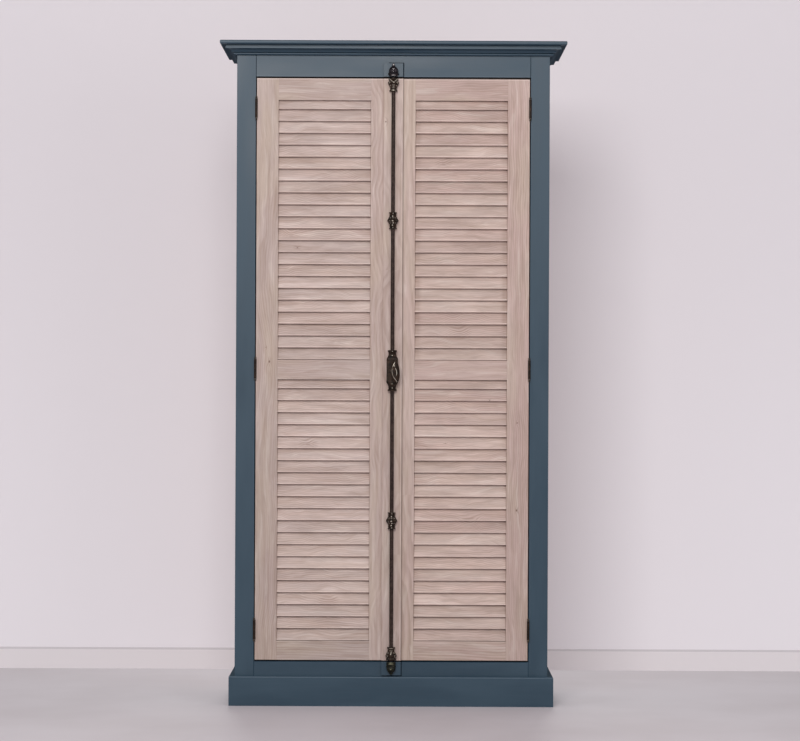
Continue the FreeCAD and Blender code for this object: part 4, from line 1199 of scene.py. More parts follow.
def rings(*rows: Sequence[float]) -> list[Ring]:
    """Rings from rows in millimetres.

    Args:
        rows: Height and half width, then depth, rub and squareness where they differ from a plain round ring's.

    Returns:
        The rings.
    """
    def ring(height: float, half: float, depth: float = 0.0, rub: float = 0.0, square: float = 2.0) -> Ring:
        """One ring from its row."""
        return Ring(height * MM, half * MM, (depth or half) * MM, square, rub)

    return [ring(*row) for row in rows]


def mirrored(levels: Sequence[Ring], height: float) -> list[Ring]:
    """The same rings in the opposite order, measured from the other end of a height."""
    return [replace(ring, height=height - ring.height) for ring in reversed(levels)]


@dataclass
class Casting:
    """A casting that straddles the rod: round or squared in front and flat against its seat."""

    foot: float
    rings: Sequence[Ring]
    relief: Relief
    upward: bool = True
    bore: float = 6.05 * MM
    bore_end: float | None = None
    cavity: tuple[Ring, Ring] | None = None
    around: int = 64
    step: float = 0.5 * MM
    soften: float = 0.5
    rub_from: float = 0.085
    rub_full: float = 0.125
    closest: float = 0.02 * MM
    lip: float = 0.03 * MM
    relief_ends: tuple[float, float] = (1.57, 1.25)
    rub_ends: tuple[float, float] = (1.0, 0.25)

    def outline(self, height: float) -> Ring:
        """Outline at any height, eased between the stated rings.

        Args:
            height: Height above the foot.

        Returns:
            The ring at that height.
        """
        for first, second in zip(self.rings, self.rings[1:]):
            if height <= second.height:
                share = (height - first.height) / max(second.height - first.height, 1e-6)
                eased = share + (smooth(0.0, 1.0, share) - share) * self.soften
                half, depth, square, rub = (
                    getattr(first, part) + (getattr(second, part) - getattr(first, part)) * eased
                    for part in ("half", "depth", "square", "rub"))
                return Ring(height, half, depth, square, rub)
        return self.rings[-1]

    def row(self, shape: Shape, ring: Ring, plain: bool) -> list[int]:
        """Add the points of one level, from the left of the seat round the front to its right.

        Args:
            shape: The shape to add to.
            ring: Height, half width, depth and squareness of the level.
            plain: Whether it is a bore without ornament.

        Returns:
            The numbers of the points.
        """
        z = self.foot + ring.height * (1.0 if self.upward else -1.0)
        shoulder = PLAN.seat - PLAN.rod_stand_off * 0.5
        points = [Vector((-ring.half, PLAN.seat, z)), Vector((-ring.half, shoulder, z))]
        rubs = [0.0, 0.0]
        for k in range(self.around + 1):
            angle = math.pi * k / self.around - math.pi / 2.0
            sine, cosine = math.sin(angle), math.cos(angle)
            x = ring.half * math.copysign(abs(sine) ** (2.0 / ring.square), sine)
            y = ring.depth * abs(cosine) ** (2.0 / ring.square)
            rise = 0.0 if plain else self.relief(angle, ring.height / MM) * smooth(*self.relief_ends, abs(angle))
            points.append(Vector((x * (1.0 + rise), PLAN.rod_y - y * (1.0 + rise), z)))
            centred = ring.rub * smooth(*self.rub_ends, abs(angle))
            rubs.append(0.0 if plain else max(smooth(self.rub_from, self.rub_full, rise), centred))
        points += [Vector((ring.half, shoulder, z)), Vector((ring.half, PLAN.seat, z))]
        return shape.loop(points, rubs + [0.0, 0.0])

    def levels(self) -> list[float]:
        """Choose the heights of all the levels.

        Returns:
            Evenly spaced heights, those of the stated rings, and the ends of the bore, from the foot up.
        """
        top = self.rings[-1].height
        count = int(top / self.step)
        marks = {ring.height for ring in self.rings} | {top * k / count for k in range(count + 1)}
        if self.bore_end is not None:
            marks.add(self.bore_end)
        if self.cavity:
            low, high = self.cavity
            marks |= {low.height, low.height + self.lip, high.height, high.height - self.lip}
        kept = [0.0]
        for height in sorted(marks):
            if height - kept[-1] > self.closest:
                kept.append(height)
        return kept

    def add_to(self, shape: Shape) -> None:
        """Add the casting's mesh to a shape.

        Args:
            shape: The shape to add to.
        """
        end = self.rings[-1].height if self.bore_end is None else self.bore_end
        outer, inner = [], []
        for height in self.levels():
            outer.append(self.row(shape, self.outline(height), False))
            if height <= end + 1e-7:
                hollow = Ring(height, self.bore, self.bore)
                if self.cavity and self.cavity[0].height + 1e-6 < height < self.cavity[1].height - 1e-6:
                    hollow = replace(self.cavity[0], height=height)
                inner.append(self.row(shape, hollow, True))
        for first, second in zip(outer, outer[1:]):
            shape.band(first, second, closed=False)
        for first, second in zip(inner, inner[1:]):
            shape.band(second, first, closed=False)
        shape.band(inner[0], outer[0], closed=False)
        for k in range(len(inner) - 1):
            shape.faces.append((outer[k][0], outer[k + 1][0], inner[k + 1][0], inner[k][0]))
            shape.faces.append((outer[k + 1][-1], outer[k][-1], inner[k][-1], inner[k + 1][-1]))
        if self.bore_end is None:
            shape.band(outer[-1], inner[-1], closed=False)
            return
        shape.cap(inner[-1])
        mouth = len(inner) - 1
        shape.faces.append((outer[mouth][0], inner[-1][0], inner[-1][-1], outer[mouth][-1]))
        for k in range(mouth, len(outer) - 1):
            shape.faces.append((outer[k][-1], outer[k + 1][-1], outer[k + 1][0], outer[k][0]))
        shape.cap(outer[-1])


class Ornament:
    """Reliefs cast into the fittings: shares of the radius, from the angle off the front and the height in mm."""

    arc: float = 13.0

    @staticmethod
    def leaves(count: int, low: float, high: float, depth: float) -> Relief:
        """Relief of leaves that spring from one height and end in points at another.

        Args:
            count: Leaves over the half round that shows.
            low: Height at which they spring.
            high: Height of their points.
            depth: Depth of the relief as a share of the radius.

        Returns:
            A function of the angle and the height.
        """
        def relief(angle: float, height: float) -> float:
            """Height of the leaf at a place.

            Args:
                angle: Angle from the front.
                height: Height of the place.

            Returns:
                The height as a share of the radius.
            """
            share = (height - low) / (high - low)
            if not 0.0 <= share <= 1.0:
                return 0.0
            offset = (angle / (math.pi / count) + 0.5) % 1.0 - 0.5
            reach = 0.5 * math.sqrt(max(1.0 - share ** 1.6, 0.0)) + 0.02
            inside = smooth(reach, reach * 0.45, abs(offset))
            vein = smooth(0.0, 0.09, abs(offset))
            swell = math.sin(math.pi * min(share * 1.15, 1.0)) ** 0.6
            return depth * inside * (0.45 + 0.55 * vein) * swell

        return relief

    @classmethod
    def rib(cls, path: Sequence[Point], width: float, depth: float) -> Relief:
        """Relief of a round rib along a path.

        Args:
            path: Pairs (angle in radians, height).
            width: Half width of the rib.
            depth: Depth as a share of the radius.

        Returns:
            A function of the angle and the height.
        """
        track = [(angle * cls.arc, height) for angle, height in path]
        floor = min(height for _, height in track) - 2.5 * width
        roof = max(height for _, height in track) + 2.5 * width

        def relief(angle: float, height: float) -> float:
            """Height of the rib at a place.

            Args:
                angle: Angle from the front.
                height: Height of the place.

            Returns:
                The height as a share of the radius.
            """
            if not floor < height < roof:
                return 0.0
            u = angle * cls.arc
            nearest = math.inf
            for (u0, h0), (u1, h1) in zip(track, track[1:]):
                du, dh = u1 - u0, h1 - h0
                share = min(max(((u - u0) * du + (height - h0) * dh) / (du * du + dh * dh), 0.0), 1.0)
                nearest = min(nearest, math.hypot(u - u0 - du * share, height - h0 - dh * share))
            return depth * math.exp(-(nearest / width) ** 2)

        return relief

    @classmethod
    def bead(cls, angle: float, height: float, radius: float, depth: float) -> Relief:
        """A single raised bead, or a dimple if its depth is below 0."""
        return cls.rib([(angle, height), (angle + 0.01, height)], radius, depth)

    @classmethod
    def curl(cls, angle: float, height: float, radius: float, start: float, depth: float) -> Relief:
        """A scroll: a rib that winds in on itself round a sunk eye.

        Args:
            angle: Angle of its middle.
            height: Height of its middle.
            radius: Outer radius.
            start: Angle in degrees at which the scroll begins.
            depth: Depth as a share of the radius.

        Returns:
            A function of the angle and the height.
        """
        path = []
        for k in range(15):
            turn = math.radians(start) + math.copysign(k * 0.4, angle or 1.0)
            reach = radius * (1.0 - 0.045 * k)
            path.append((angle + reach * math.cos(turn) / cls.arc, height + reach * math.sin(turn)))
        return cls.together(cls.rib(path, radius * 0.28, depth), cls.bead(angle, height, radius * 0.45, -depth * 0.9))

    @staticmethod
    def together(*reliefs: Relief) -> Relief:
        """Lay several reliefs over each other.

        Args:
            reliefs: The reliefs.

        Returns:
            A function that gives the highest ridge and the deepest hollow at each place.
        """
        def relief(angle: float, height: float) -> float:
            """The reliefs' sum of ridge and hollow."""
            levels = [0.0] + [each(angle, height) for each in reliefs]
            return max(levels) + min(levels)

        return relief


@dataclass
class Bolt:
    """The surface bolt: castings with leaf ornament, a twisted oval knob, rods and hidden works."""

    bronze: BronzeFinish
    rod: BronzeFinish
    steel: SteelFinish
    guide_centres: tuple[float, float] = (587.0 * MM, 1535.0 * MM)
    guide_height: float = 52.0 * MM
    end_guide_height: float = 40.0 * MM
    end_guide_set_back: float = 3.0 * MM
    keeper_bore: float = 6.4 * MM
    keeper_bore_end: float = 20.6 * MM
    top_keeper_height: float = 41.0 * MM
    bottom_keeper_height: float = 40.0 * MM
    case_height: float = 129.0 * MM
    case_centre: float = 1061.0 * MM
    case_depth: float = 18.0 * MM
    case_cavity: float = 66.0 * MM
    case_wall: float = 3.4 * MM
    spindle_bore: float = 4.05 * MM
    bore_start: float = 3.0 * MM
    bore_length: float = 9.5 * MM
    knob_height: float = 72.0 * MM
    knob_width: float = 30.0 * MM
    knob_side: float = 9.5 * MM
    knob_drop: float = 4.5 * MM
    knob_lean: float = math.radians(4.0)
    knob_collar: float = 3.5 * MM
    knob_body: float = 0.93
    knob_blunt: float = 0.84
    knob_pole: float = 0.006
    knob_levels: int = 110
    knob_around: int = 112
    knob_rub: float = 0.78
    knob_proud: tuple[float, float] = (0.032, 0.066)
    dome_bronze: BronzeFinish = BronzeFinish("dome_bronze", dark=srgb(24, 21, 26), brown=srgb(52, 45, 50),
                                             paler=srgb(200, 195, 194))
    acorn_bronze: BronzeFinish = BronzeFinish("acorn_bronze", dark=srgb(22, 23, 18), brown=srgb(50, 50, 40),
                                              paler=srgb(158, 156, 128))

    def dress(self) -> None:
        """Make the castings and the knob, and finish the rods and the works."""
        bronze = self.bronze.make()
        self.build_guides(bronze)
        self.build_end_guides(bronze)
        self.build_keepers()
        self.build_case(bronze)
        self.build_knob(bronze)
        rods = self.rod.make()
        for node in ("upper_rod", "lower_rod"):
            Board.dress(node, rods, 0.8 * MM)
        works = self.steel.make()
        for node in ("upper_rack", "lower_rack", "drive_pinion", "bolt_back_plate"):
            Board.dress(node, works, 0.2 * MM, 1)

    def build_guides(self, material: bpy.types.Material) -> None:
        """The two rod guides between the case and the ends.

        Args:
            material: Their finish.
        """
        low = rings((0.0, 12.3), (0.8, 12.7), (2.4, 12.4, 12.4, 0.25), (3.6, 10.2), (6.0, 9.6), (8.0, 11.2, 11.2, 0.2),
                    (9.6, 11.2, 11.2, 0.2), (11.0, 10.0), (19.0, 13.2, 12.6), (24.0, 17.4, 15.4), (26.0, 18.2, 16.0))
        whole = low + mirrored(low[:-1], self.guide_height)
        leaves = [Ornament.leaves(5, root, tip, 0.106) for root, tip in ((12.0, 25.5), (40.0, 26.5))]
        middle = self.guide_height / MM / 2.0
        curls = [Ornament.curl(-0.75, middle - 3.4, 3.6, 60.0, 0.115),
                 Ornament.curl(0.7, middle + 3.6, 3.6, 240.0, 0.1)]
        specks = [Ornament.bead(angle, middle + up, size, 0.17) for angle, up, size in (
            (0.05, 22.0, 2.5), (-0.05, 13.5, 2.6), (-0.06, -1.6, 2.6), (0.1, -8.2, 2.3), (-0.12, -15.0, 2.7),
            (0.0, -22.2, 2.3))]
        ornament = Ornament.together(*leaves, *curls, *specks)
        shape = Shape()
        for centre in self.guide_centres:
            Casting(centre - self.guide_height / 2.0, whole, ornament).add_to(shape)
        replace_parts(shape.piece("bolt_rod_guides", material, "left_door", 40.0), "rod_guides")

    def build_end_guides(self, material: bpy.types.Material) -> None:
        """The two guides at the ends of the door, with a crown of petals.

        Args:
            material: Their finish.
        """
        body = rings((0.0, 12.2), (1.0, 12.7), (3.4, 12.6, 12.6, 0.8), (5.0, 10.6), (8.0, 9.8), (10.5, 11.0, 11.0, 0.5),
                     (12.5, 10.4), (20.0, 14.4, 13.4), (26.5, 17.8, 15.8), (28.5, 17.6, 15.6), (31.0, 14.2, 13.4),
                     (35.0, 14.0, 13.6), (38.5, 15.9, 15.2), (40.0, 15.2, 14.6))
        both = [Ornament.leaves(4, 12.0, 24.0, 0.112)]
        both += [Ornament.curl(side * 0.95, 26.8, 4.6, 90.0, 0.125) for side in (-1.0, 1.0)]
        ribs = [Ornament.rib([(side * 0.95, 39.5), (0.08, 26.5)], 1.4, 0.14) for side in (-1.0, 1.0)]
        bars = [Ornament.rib([(-0.22, height), (0.22, height)], 1.0, 0.125) for height in (20.4, 14.1)]
        crown = Ornament.together(*both, *ribs, *bars, Ornament.bead(0.0, 33.0, 1.7, -0.16))
        skirt = Ornament.together(*both, Ornament.leaves(5, 39.0, 30.0, 0.1), Ornament.bead(-0.1, 21.5, 2.5, 0.14),
                                  Ornament.bead(0.05, 14.0, 2.0, 0.14))
        reach = self.end_guide_set_back + self.end_guide_height
        shape = Shape()
        Casting(PLAN.leaf_top - reach, body, crown).add_to(shape)
        Casting(PLAN.leaf_bottom + reach, body, skirt, upward=False).add_to(shape)
        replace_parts(shape.piece("bolt_end_guides", material, "left_door", 40.0), "end_guides")

    def build_keepers(self) -> None:
        """The keepers on the face frame: a dome with a button above, an acorn below."""
        low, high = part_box("bolt_keepers")
        dome_rings = rings((0.0, 12.6), (1.0, 13.2), (2.4, 12.8, 12.8, 0.8), (4.0, 14.2, 13.8), (7.4, 17.8, 16.8),
                           (9.2, 17.4, 16.4), (11.0, 14.0, 13.8), (13.0, 14.8, 14.6), (20.0, 13.9, 13.7),
                           (26.0, 11.0, 10.8), (31.0, 6.8), (33.2, 3.3), (35.2, 3.9, 3.9, 1.0), (37.6, 4.2, 4.2, 1.0),
                           (39.8, 2.8, 2.8, 0.7), (40.9, 0.8))
        acorn_rings = rings((0.0, 14.2, 14.2, 0.5), (1.2, 14.8, 14.8, 0.6), (3.0, 14.8), (5.6, 14.8, 14.8, 0.75),
                            (7.2, 13.2), (9.2, 13.2), (10.8, 15.3, 15.2), (13.8, 15.2, 15.0), (15.2, 13.6),
                            (20.0, 14.2, 14.0), (28.0, 11.0, 10.8), (34.0, 5.8), (38.2, 3.2), (39.9, 0.8))
        leaf = Ornament.together(Ornament.leaves(5, 12.0, 31.0, 0.08), Ornament.bead(-0.02, 19.6, 1.9, 0.14),
                                 Ornament.bead(-0.05, 14.0, 2.2, 0.12),
                                 Ornament.rib([(-0.2, 22.8), (0.16, 22.8)], 1.5, 0.15))
        tongue = Ornament.together(Ornament.leaves(6, 15.0, 36.0, 0.07), Ornament.bead(-0.05, 21.6, 2.8, 0.15))
        for name, finish, foot, levels, ornament, upward in (
            ("bolt_top_keeper", self.dome_bronze, high.z - self.top_keeper_height, dome_rings, leaf, True),
            ("bolt_bottom_keeper", self.acorn_bronze, low.z + self.bottom_keeper_height, acorn_rings, tongue, False),
        ):
            shape = Shape()
            Casting(foot, levels, ornament, upward, self.keeper_bore, self.keeper_bore_end, soften=0.6).add_to(shape)
            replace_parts(shape.piece(name, finish.make(), "cabinet", 40.0), "bolt_keepers")

    def build_case(self, material: bpy.types.Material) -> None:
        """The central case: a squared box with round necks, carved shoulders and a bore for the spindle.

        Args:
            material: Its finish.
        """
        low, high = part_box("bolt_case")
        tall, half = self.case_height / MM, high.x / MM
        flat = (PLAN.rod_y - PLAN.seat + self.case_depth) / MM
        neck, flange = 11.9, 14.5
        lower = rings((0.0, flange - 0.5), (0.8, flange), (3.8, flange), (4.8, flange - 0.6), (6.6, neck),
                      (10.0, neck - 0.5), (11.4, neck + 1.1), (12.8, neck - 0.2), (16.5, neck),
                      (19.6, neck + 1.8, neck + 1.9), (21.8, 15.2, 15.4, 0.0, 2.2), (22.6, 15.7, flat, 0.0, 3.2),
                      (25.4, half - 0.6, flat, 0.0, 5.0), (28.0, half, flat, 0.0, 7.0), (33.0, half, flat, 0.0, 7.0))
        edge, end = 0.62, 34.0
        carving = [Ornament.rib([(side * edge, end), (side * edge, tall - end)], 0.9, 0.095) for side in (-1.0, 1.0)]
        carving += [Ornament.rib([(-edge, height), (0.0, height + peak), (edge, height)], 0.9, 0.05)
                    for peak, height in ((-5.0, end), (5.0, tall - end))]
        carving += [Ornament.leaves(5, root, tip, 0.1) for root, tip in ((12.5, 22.0), (tall - 12.5, tall - 22.0))]
        carving += [Ornament.bead(0.0, height, size, 0.13)
                    for height, size in ((9.3, 2.7), (22.4, 1.6), (tall - 16.4, 2.3), (tall - 3.6, 2.3))]
        middle, cavity_half = self.case_height / 2.0, self.case_cavity / 2.0
        cavity = (Ring(middle - cavity_half, half * MM - self.case_wall, flat * MM - self.case_wall, 9.0),
                  Ring(middle + cavity_half, half * MM - self.case_wall, flat * MM - self.case_wall, 9.0))
        shape = Shape()
        Casting(low.z, lower + mirrored(lower, self.case_height), Ornament.together(*carving), cavity=cavity,
                soften=0.4).add_to(shape)
        case = shape.piece("bolt_case_casting", material, "left_door", 40.0)
        self.drill(case, Vector((0.0, PLAN.seat - self.case_depth, self.case_centre)))
        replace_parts(case, "bolt_case")

    def drill(self, case: Mesh, mouth: Vector) -> None:
        """Cut the spindle's bore through the front wall of the case.

        Args:
            case: The case.
            mouth: Centre of the bore at the face of the case.
        """
        cutter = Shape()
        add_lathe(cutter, mouth + Vector((0.0, -self.bore_start, 0.0)), Vector((0.0, 1.0, 0.0)),
                  [(0.0, self.spindle_bore), (self.bore_length, self.spindle_bore)], 48)
        mesh = bpy.data.meshes.new("spindle_bore")
        mesh.from_pydata([tuple(p) for p in cutter.points], [], cutter.faces)
        tool = bpy.data.objects.new("spindle_bore", mesh)
        bpy.context.scene.collection.objects.link(tool)
        cut = case.modifiers.new("bore", "BOOLEAN")
        cut.operation = "DIFFERENCE"
        cut.solver = "EXACT"
        cut.object = tool
        whole = case.evaluated_get(bpy.context.evaluated_depsgraph_get())
        bored = bpy.data.meshes.new_from_object(whole)
        case.modifiers.clear()
        case.data = bored
        bpy.data.objects.remove(tool)
        LOG.info("bore cut, %d faces", len(bored.polygons))

    def build_knob(self, material: bpy.types.Material) -> None:
        """The oval knob, cast off the spindle's centre, with twisted ribs and a turned collar.

        Args:
            material: Its finish.
        """
        low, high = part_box("knob")
        shape = Shape()
        back = high.y
        collar = [(along * MM, radius * MM)
                  for along, radius in ((0.0, 7.8), (0.8, 9.0), (2.2, 9.0), (3.2, 6.6), (5.2, 6.2), (11.0, 6.2))]
        add_lathe(shape, Vector((0.0, back, self.case_centre)), Vector((0.0, -1.0, 0.0)), collar, 40)
        tall, wide = self.knob_height / 2.0, self.knob_width / 2.0
        thick = (back - self.knob_collar - low.y) / 2.0
        middle = low.y + thick
        sine, cosine = math.sin(self.knob_lean), math.cos(self.knob_lean)
        relief = self.knob_relief()
        rows = []
        for i in range(self.knob_levels + 1):
            polar = math.pi * (self.knob_pole + (1.0 - 2.0 * self.knob_pole) * i / self.knob_levels)
            z = -math.cos(polar)
            girth = math.sin(polar) ** self.knob_blunt
            points, rubs = [], []
            for k in range(self.knob_around):
                turn = math.tau * k / self.knob_around - math.pi
                rise = relief(turn, tall * z / MM)
                rib = girth * min(self.knob_body + rise, 1.0)
                x, height = wide * rib * math.sin(turn), tall * z
                points.append(Vector((self.knob_side + x * cosine - height * sine,
                                      middle - thick * rib * math.cos(turn),
                                      self.case_centre - self.knob_drop + height * cosine + x * sine)))
                rubs.append(self.knob_rub * smooth(*self.knob_proud, rise))
            rows.append(shape.loop(points, rubs))
        shape.tube(rows)
        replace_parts(shape.piece("bolt_knob", material, "knob", 60.0), "knob")

    @staticmethod
    def knob_relief() -> Relief:
        """Raised ribs that bow apart round a hollow and meet at the top, before and behind.

        Returns:
            A function of the angle from the front and of the height from the middle in mm.
        """
        long_rib = [(0.14, 31.5), (-0.24, 26.5), (-0.6, 17.0), (-0.76, 4.3), (-0.68, -9.0), (-0.32, -20.0),
                    (0.2, -28.5), (0.5, -32.5)]
        short_rib = [(-0.26, 21.5), (0.02, 14.0), (0.27, 4.5), (0.34, -3.0), (0.26, -8.5), (0.08, -13.5)]
        side_rib = [(1.2, 30.0), (1.45, 10.0), (1.25, -12.0), (0.85, -27.0)]
        hollow = [(-0.3, 13.0), (-0.22, 3.0), (-0.2, -11.0)]
        groove = [(0.7, 28.0), (0.95, 6.0), (0.75, -20.0)]
        front = Ornament.together(Ornament.rib(long_rib, 1.5, 0.075), Ornament.rib(short_rib, 1.4, 0.075),
                                  Ornament.rib(side_rib, 2.4, 0.03), Ornament.rib(hollow, 3.4, -0.14),
                                  Ornament.rib(groove, 2.0, -0.07))

        def relief(angle: float, height: float) -> float:
            """The front's relief, and the same again behind."""
            behind = abs(angle) >= math.pi / 2.0
            return front(angle - math.copysign(math.pi, angle) if behind else angle, height)

        return relief


@dataclass
class Hinges:
    """The hinges: CAD leaves and pins, turned tips on the pins and screws in the leaves."""

    bronze: BronzeFinish
    centres: tuple[float, float, float] = (240.0 * MM, 1065.0 * MM, 1890.0 * MM)
    axis_x: float = 433.4 * MM
    axis_y: float = -178.4 * MM
    half_height: float = 30.0 * MM
    opening_half: float = 435.0 * MM
    leaf_half: float = 431.8 * MM
    plate: float = 1.4 * MM
    screw_radius: float = 3.1 * MM
    screw_crown: float = 0.16 * MM
    screw_set_back: float = 13.0 * MM
    screw_rows: tuple[float, float, float] = (-22.0 * MM, 0.0, 22.0 * MM)

    def dress(self) -> None:
        """Finish the hinges, and make their tips and screws."""
        bronze = self.bronze.make()
        plain = replace(self.bronze, name="hinge_bronze_plain", pale_mark=0.0).make()
        for node in ("hinge_frame_leaves", "left_hinge_leaves", "right_hinge_leaves", "hinge_pins"):
            Board.dress(node, plain, 0.15 * MM, 1)
        self.build_tips(bronze)
        self.build_screws(bronze)

    def build_tips(self, material: bpy.types.Material) -> None:
        """Turned tips at both ends of each pin.

        Args:
            material: Their finish.
        """
        outline = [(along * MM, radius * MM) for along, radius in (
            (0.3, 2.6), (0.6, 3.5), (1.3, 3.6), (1.9, 2.5), (2.6, 2.3), (3.4, 3.2), (4.8, 3.7), (6.2, 3.2), (7.4, 2.1),
            (8.2, 0.8))]
        shape = Shape()
        for side in (-1.0, 1.0):
            for centre in self.centres:
                for way in (-1.0, 1.0):
                    start = Vector((side * self.axis_x, self.axis_y, centre + way * self.half_height))
                    add_lathe(shape, start, Vector((0.0, 0.0, way)), outline)
        shape.piece("hinge_tips", material, "cabinet", 50.0)

    def build_screws(self, material: bpy.types.Material) -> None:
        """Domed screw heads in the leaves on the frame and on the doors.

        Args:
            material: Their finish.
        """
        on_frame, on_door = self.opening_half - self.plate, self.leaf_half + self.plate
        for name, body, hands, face, out in (("left_door_screws", "left_door", (-1.0,), on_door, 1.0),
                                             ("right_door_screws", "right_door", (1.0,), on_door, 1.0),
                                             ("frame_screws", "cabinet", (-1.0, 1.0), on_frame, -1.0)):
            shape = Shape()
            for hand in hands:
                for centre in self.centres:
                    for row in self.screw_rows:
                        at = Vector((hand * face, PLAN.face + self.screw_set_back, centre + row))
                        add_lathe(shape, at, Vector((hand * out, 0.0, 0.0)),
                                  dome(self.screw_radius, self.screw_crown), 16)
            shape.piece(name, material, body, 50.0)


@dataclass
class Fixings:
    """Nails through the back boards into the shelves, the top board and the bottom board."""

    steel: SteelFinish
    planks: int = 8
    levels: tuple[float, ...] = (0.131, 0.5206, 0.9102, 1.2998, 1.6894, 2.079)
    nail_radius: float = 2.6 * MM
    stand: float = 0.55 * MM
    sunk: float = 0.9
    stray: tuple[float, float] = (3.0 * MM, 2.0 * MM)

    def dress(self) -> None:
        """Make the nail heads on the back."""
        low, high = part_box("back_boards")
        shape = Shape()
        width = (high.x - low.x) / self.planks
        draw = random.Random("nails")
        for i in range(self.planks):
            for share in (0.25, 0.75):
                for level in self.levels:
                    astray, off = (draw.uniform(-reach, reach) for reach in self.stray)
                    at = Vector((low.x + (i + share) * width + astray, high.y - self.stand, level + off))
                    add_lathe(shape, at, Vector((0.0, 1.0, 0.0)), dome(self.nail_radius, self.stand * self.sunk), 12)
        shape.piece("back_nails", self.steel.make(), "cabinet", 50.0)


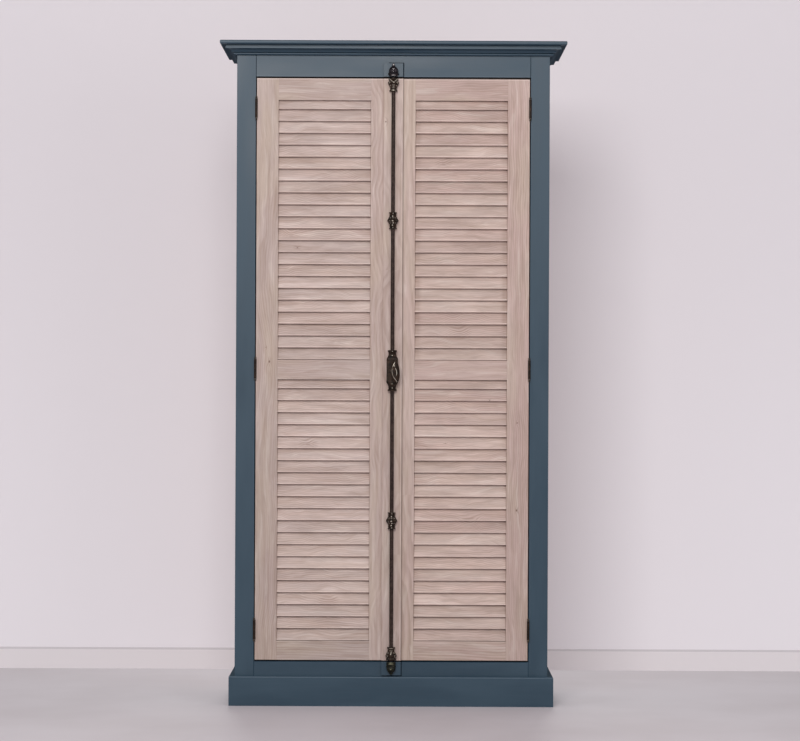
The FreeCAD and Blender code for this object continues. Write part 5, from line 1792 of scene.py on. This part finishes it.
# ---------------------------------------------------------------- studio
@dataclass
class Studio:
    """Floor, background, lamps and camera."""

    wall: Colour = srgb(236, 229, 234)
    ground: Colour = srgb(205, 195, 198)
    skirting: Colour = srgb(235, 229, 231)
    skirting_shade: Colour = srgb(214, 207, 210)
    # painted light: the wall grows lighter from its head colour down to its foot colour
    wall_head: Colour = srgb(231, 225, 229)
    wall_foot_painted_light: Colour = srgb(245, 240, 244)
    sky: Colour = (0.95, 0.96, 1.0)
    sky_strength: float = 0.46
    reach: float = 14.0
    wall_height: float = 9.0
    wall_y: float = 0.86
    skirting_height: float = 0.068
    skirting_thick: float = 0.006
    skirting_slope: float = 0.007
    fade: tuple[float, float] = (2.2, 6.5)
    distance: float = 8.5
    eye: tuple[float, float] = (0.0245, 1.0614)
    lens: float = 120.85
    roll: float = math.radians(0.25)

    def build(self) -> None:
        """Make everything that isn't part of the object."""
        self.build_floor()
        self.build_wall()
        self.build_world()
        self.build_lamps()
        self.build_camera()

    def surface(self, name: str, corners: Sequence[Sequence[float]], colour: Colour, foot: Colour,
                solid: bool = False) -> None:
        """A plain backdrop surface.

        Args:
            name: Name of the surface.
            corners: Its four corners.
            colour: Its colour.
            foot: Its colour near the floor; on the wall it is lighter, a painted light gradient.
            solid: True if it is there for all light, False if only a view from its front shows it.
        """
        mesh = bpy.data.meshes.new(name)
        mesh.from_pydata(corners, [], [(0, 1, 2, 3)])
        graph = Graph(name)
        run, up, back = graph.here(Along.WIDTH)
        patches = graph.clouds((run, up, back), scale=1.7)
        # colour from the foot up to 2.2 m; on the wall this is a painted light gradient
        base = graph.mix(graph.step(up, 0.0, 2.2), foot, colour)
        graph.dress(Base_Color=graph.mix(graph.step(patches, 0.3, 0.7, 0.0, 0.25 if solid else 0.0), base, self.wall),
                    Roughness=0.6, Specular_IOR_Level=0.15)
        seen = Wire(graph, graph.node("LightPath").outputs["Is Camera Ray"])
        if solid:
            glow = graph.node("Emission")
            graph.feed(glow.inputs["Color"], self.wall)
            graph.blend(seen * graph.step(graph.length(run, back), *self.fade), graph.shader.outputs["BSDF"],
                        glow.outputs[0])
        else:
            front = 1.0 - Wire(graph, graph.geometry("Backfacing"))
            graph.blend(seen * front, graph.node("BsdfTransparent").outputs[0], graph.shader.outputs["BSDF"])
        mesh.materials.append(graph.material)
        thing = bpy.data.objects.new(name, mesh)
        bpy.context.scene.collection.objects.link(thing)

    def build_floor(self) -> None:
        """A pale floor all round the object."""
        wide = self.reach
        self.surface("floor", [(-wide, -wide, 0.0), (wide, -wide, 0.0), (wide, wide, 0.0), (-wide, wide, 0.0)],
                     self.ground, self.ground, True)

    def build_wall(self) -> None:
        """A wall behind the object with a skirting board; from behind they are clear."""
        back, front, ledge = self.wall_y, self.wall_y - self.skirting_thick, self.skirting_height
        for name, y0, z0, y1, z1, colour, foot in (
            ("wall", back, 0.0, back, self.wall_height, self.wall_head, self.wall_foot_painted_light),
            ("skirting", front, 0.0, front, ledge, self.skirting, self.skirting),
            ("skirting_top", front, ledge, back, ledge + self.skirting_slope, self.skirting_shade,
             self.skirting_shade),
        ):
            wide = self.reach
            self.surface(name, [(-wide, y0, z0), (wide, y0, z0), (wide, y1, z1), (-wide, y1, z1)], colour, foot)

    def build_world(self) -> None:
        """Soft light from all round, and a plain background."""
        world = bpy.data.worlds.new("studio")
        bpy.context.scene.world = world
        world.use_nodes = True
        tree = world.node_tree
        tree.nodes.clear()
        light, shown = (tree.nodes.new("ShaderNodeBackground") for _ in range(2))
        light.inputs["Color"].default_value = (*self.sky, 1.0)
        light.inputs["Strength"].default_value = self.sky_strength
        shown.inputs["Color"].default_value = (*self.wall, 1.0)
        blend = tree.nodes.new("ShaderNodeMixShader")
        sources = (tree.nodes.new("ShaderNodeLightPath").outputs["Is Camera Ray"], light.outputs[0], shown.outputs[0])
        for source, target in zip(sources, blend.inputs):
            tree.links.new(source, target)
        tree.links.new(blend.outputs[0], tree.nodes.new("ShaderNodeOutputWorld").inputs["Surface"])

    def lamp(self, name: str, place: Sequence[float], aim: Sequence[float], size: float, power: float,
             colour: Colour) -> None:
        """A large square lamp.

        Args:
            name: Name of the lamp.
            place: Where it stands.
            aim: What it points at.
            size: Length of its side.
            power: Power in watts.
            colour: Colour of its light.
        """
        data = bpy.data.lights.new(name, "AREA")
        data.size = size
        data.energy = power
        data.color = colour
        thing = bpy.data.objects.new(name, data)
        bpy.context.scene.collection.objects.link(thing)
        thing.location = place
        way = Vector(aim) - Vector(place)
        thing.rotation_mode = "QUATERNION"
        thing.rotation_quaternion = way.to_track_quat("-Z", "Y")

    def build_lamps(self) -> None:
        """A high frontal key a little to the left, a weak fill from the right and a lamp behind."""
        self.lamp("key", (-0.8, -7.2, 4.2), (0.0, 0.0, 1.3), 3.2, 315.0, (1.0, 0.985, 0.975))
        self.lamp("fill", (3.4, -4.6, 1.6), (0.0, 0.0, 1.0), 2.4, 22.0, (0.97, 0.985, 1.0))
        self.lamp("rear", (0.0, 5.4, 3.4), (0.0, 0.0, 1.1), 2.6, 100.0, (1.0, 0.99, 0.98))

    def build_camera(self) -> None:
        """A long lens at mid height, square to the front."""
        data = bpy.data.cameras.new("camera")
        data.sensor_width = 36.0
        data.lens = self.lens
        data.clip_end = 100.0
        camera = bpy.data.objects.new("camera", data)
        bpy.context.scene.collection.objects.link(camera)
        camera.location = (self.eye[0], PLAN.face - self.distance, self.eye[1])
        camera.rotation_euler = (math.radians(90.0), -self.roll, 0.0)
        bpy.context.scene.camera = camera
        bpy.context.scene.view_settings.view_transform = "Standard"


def main() -> None:
    """Build the studio, then the object's sub-assemblies in order."""
    logging.basicConfig(level=logging.INFO, format="%(message)s")
    Studio().build()
    Carcass(PaintFinish("slate_blue_paint"), PineFinish("plain_pine", contrast=0.6)).dress()
    left_pine = PineFinish("limed_pine_left", pale=srgb(200, 183, 177), warm=srgb(193, 173, 166), painted_top_light=0.05,
                           contrast=0.32, patchy=0.04)
    right_pine = PineFinish("limed_pine_right", pale=srgb(204, 184, 175), painted_top_light=0.06, contrast=0.36, patchy=0.04)
    Doors(left_pine, right_pine).dress()
    rod = BronzeFinish("bronze_rod", dark=srgb(40, 29, 25), brown=srgb(64, 51, 46), pale_mark=0.0)
    Bolt(BronzeFinish("antique_bronze"), rod, SteelFinish("drawn_steel")).dress()
    Hinges(BronzeFinish("hinge_bronze")).dress()
    Fixings(SteelFinish("nail_steel")).dress()


if __name__ == "__main__":
    main()
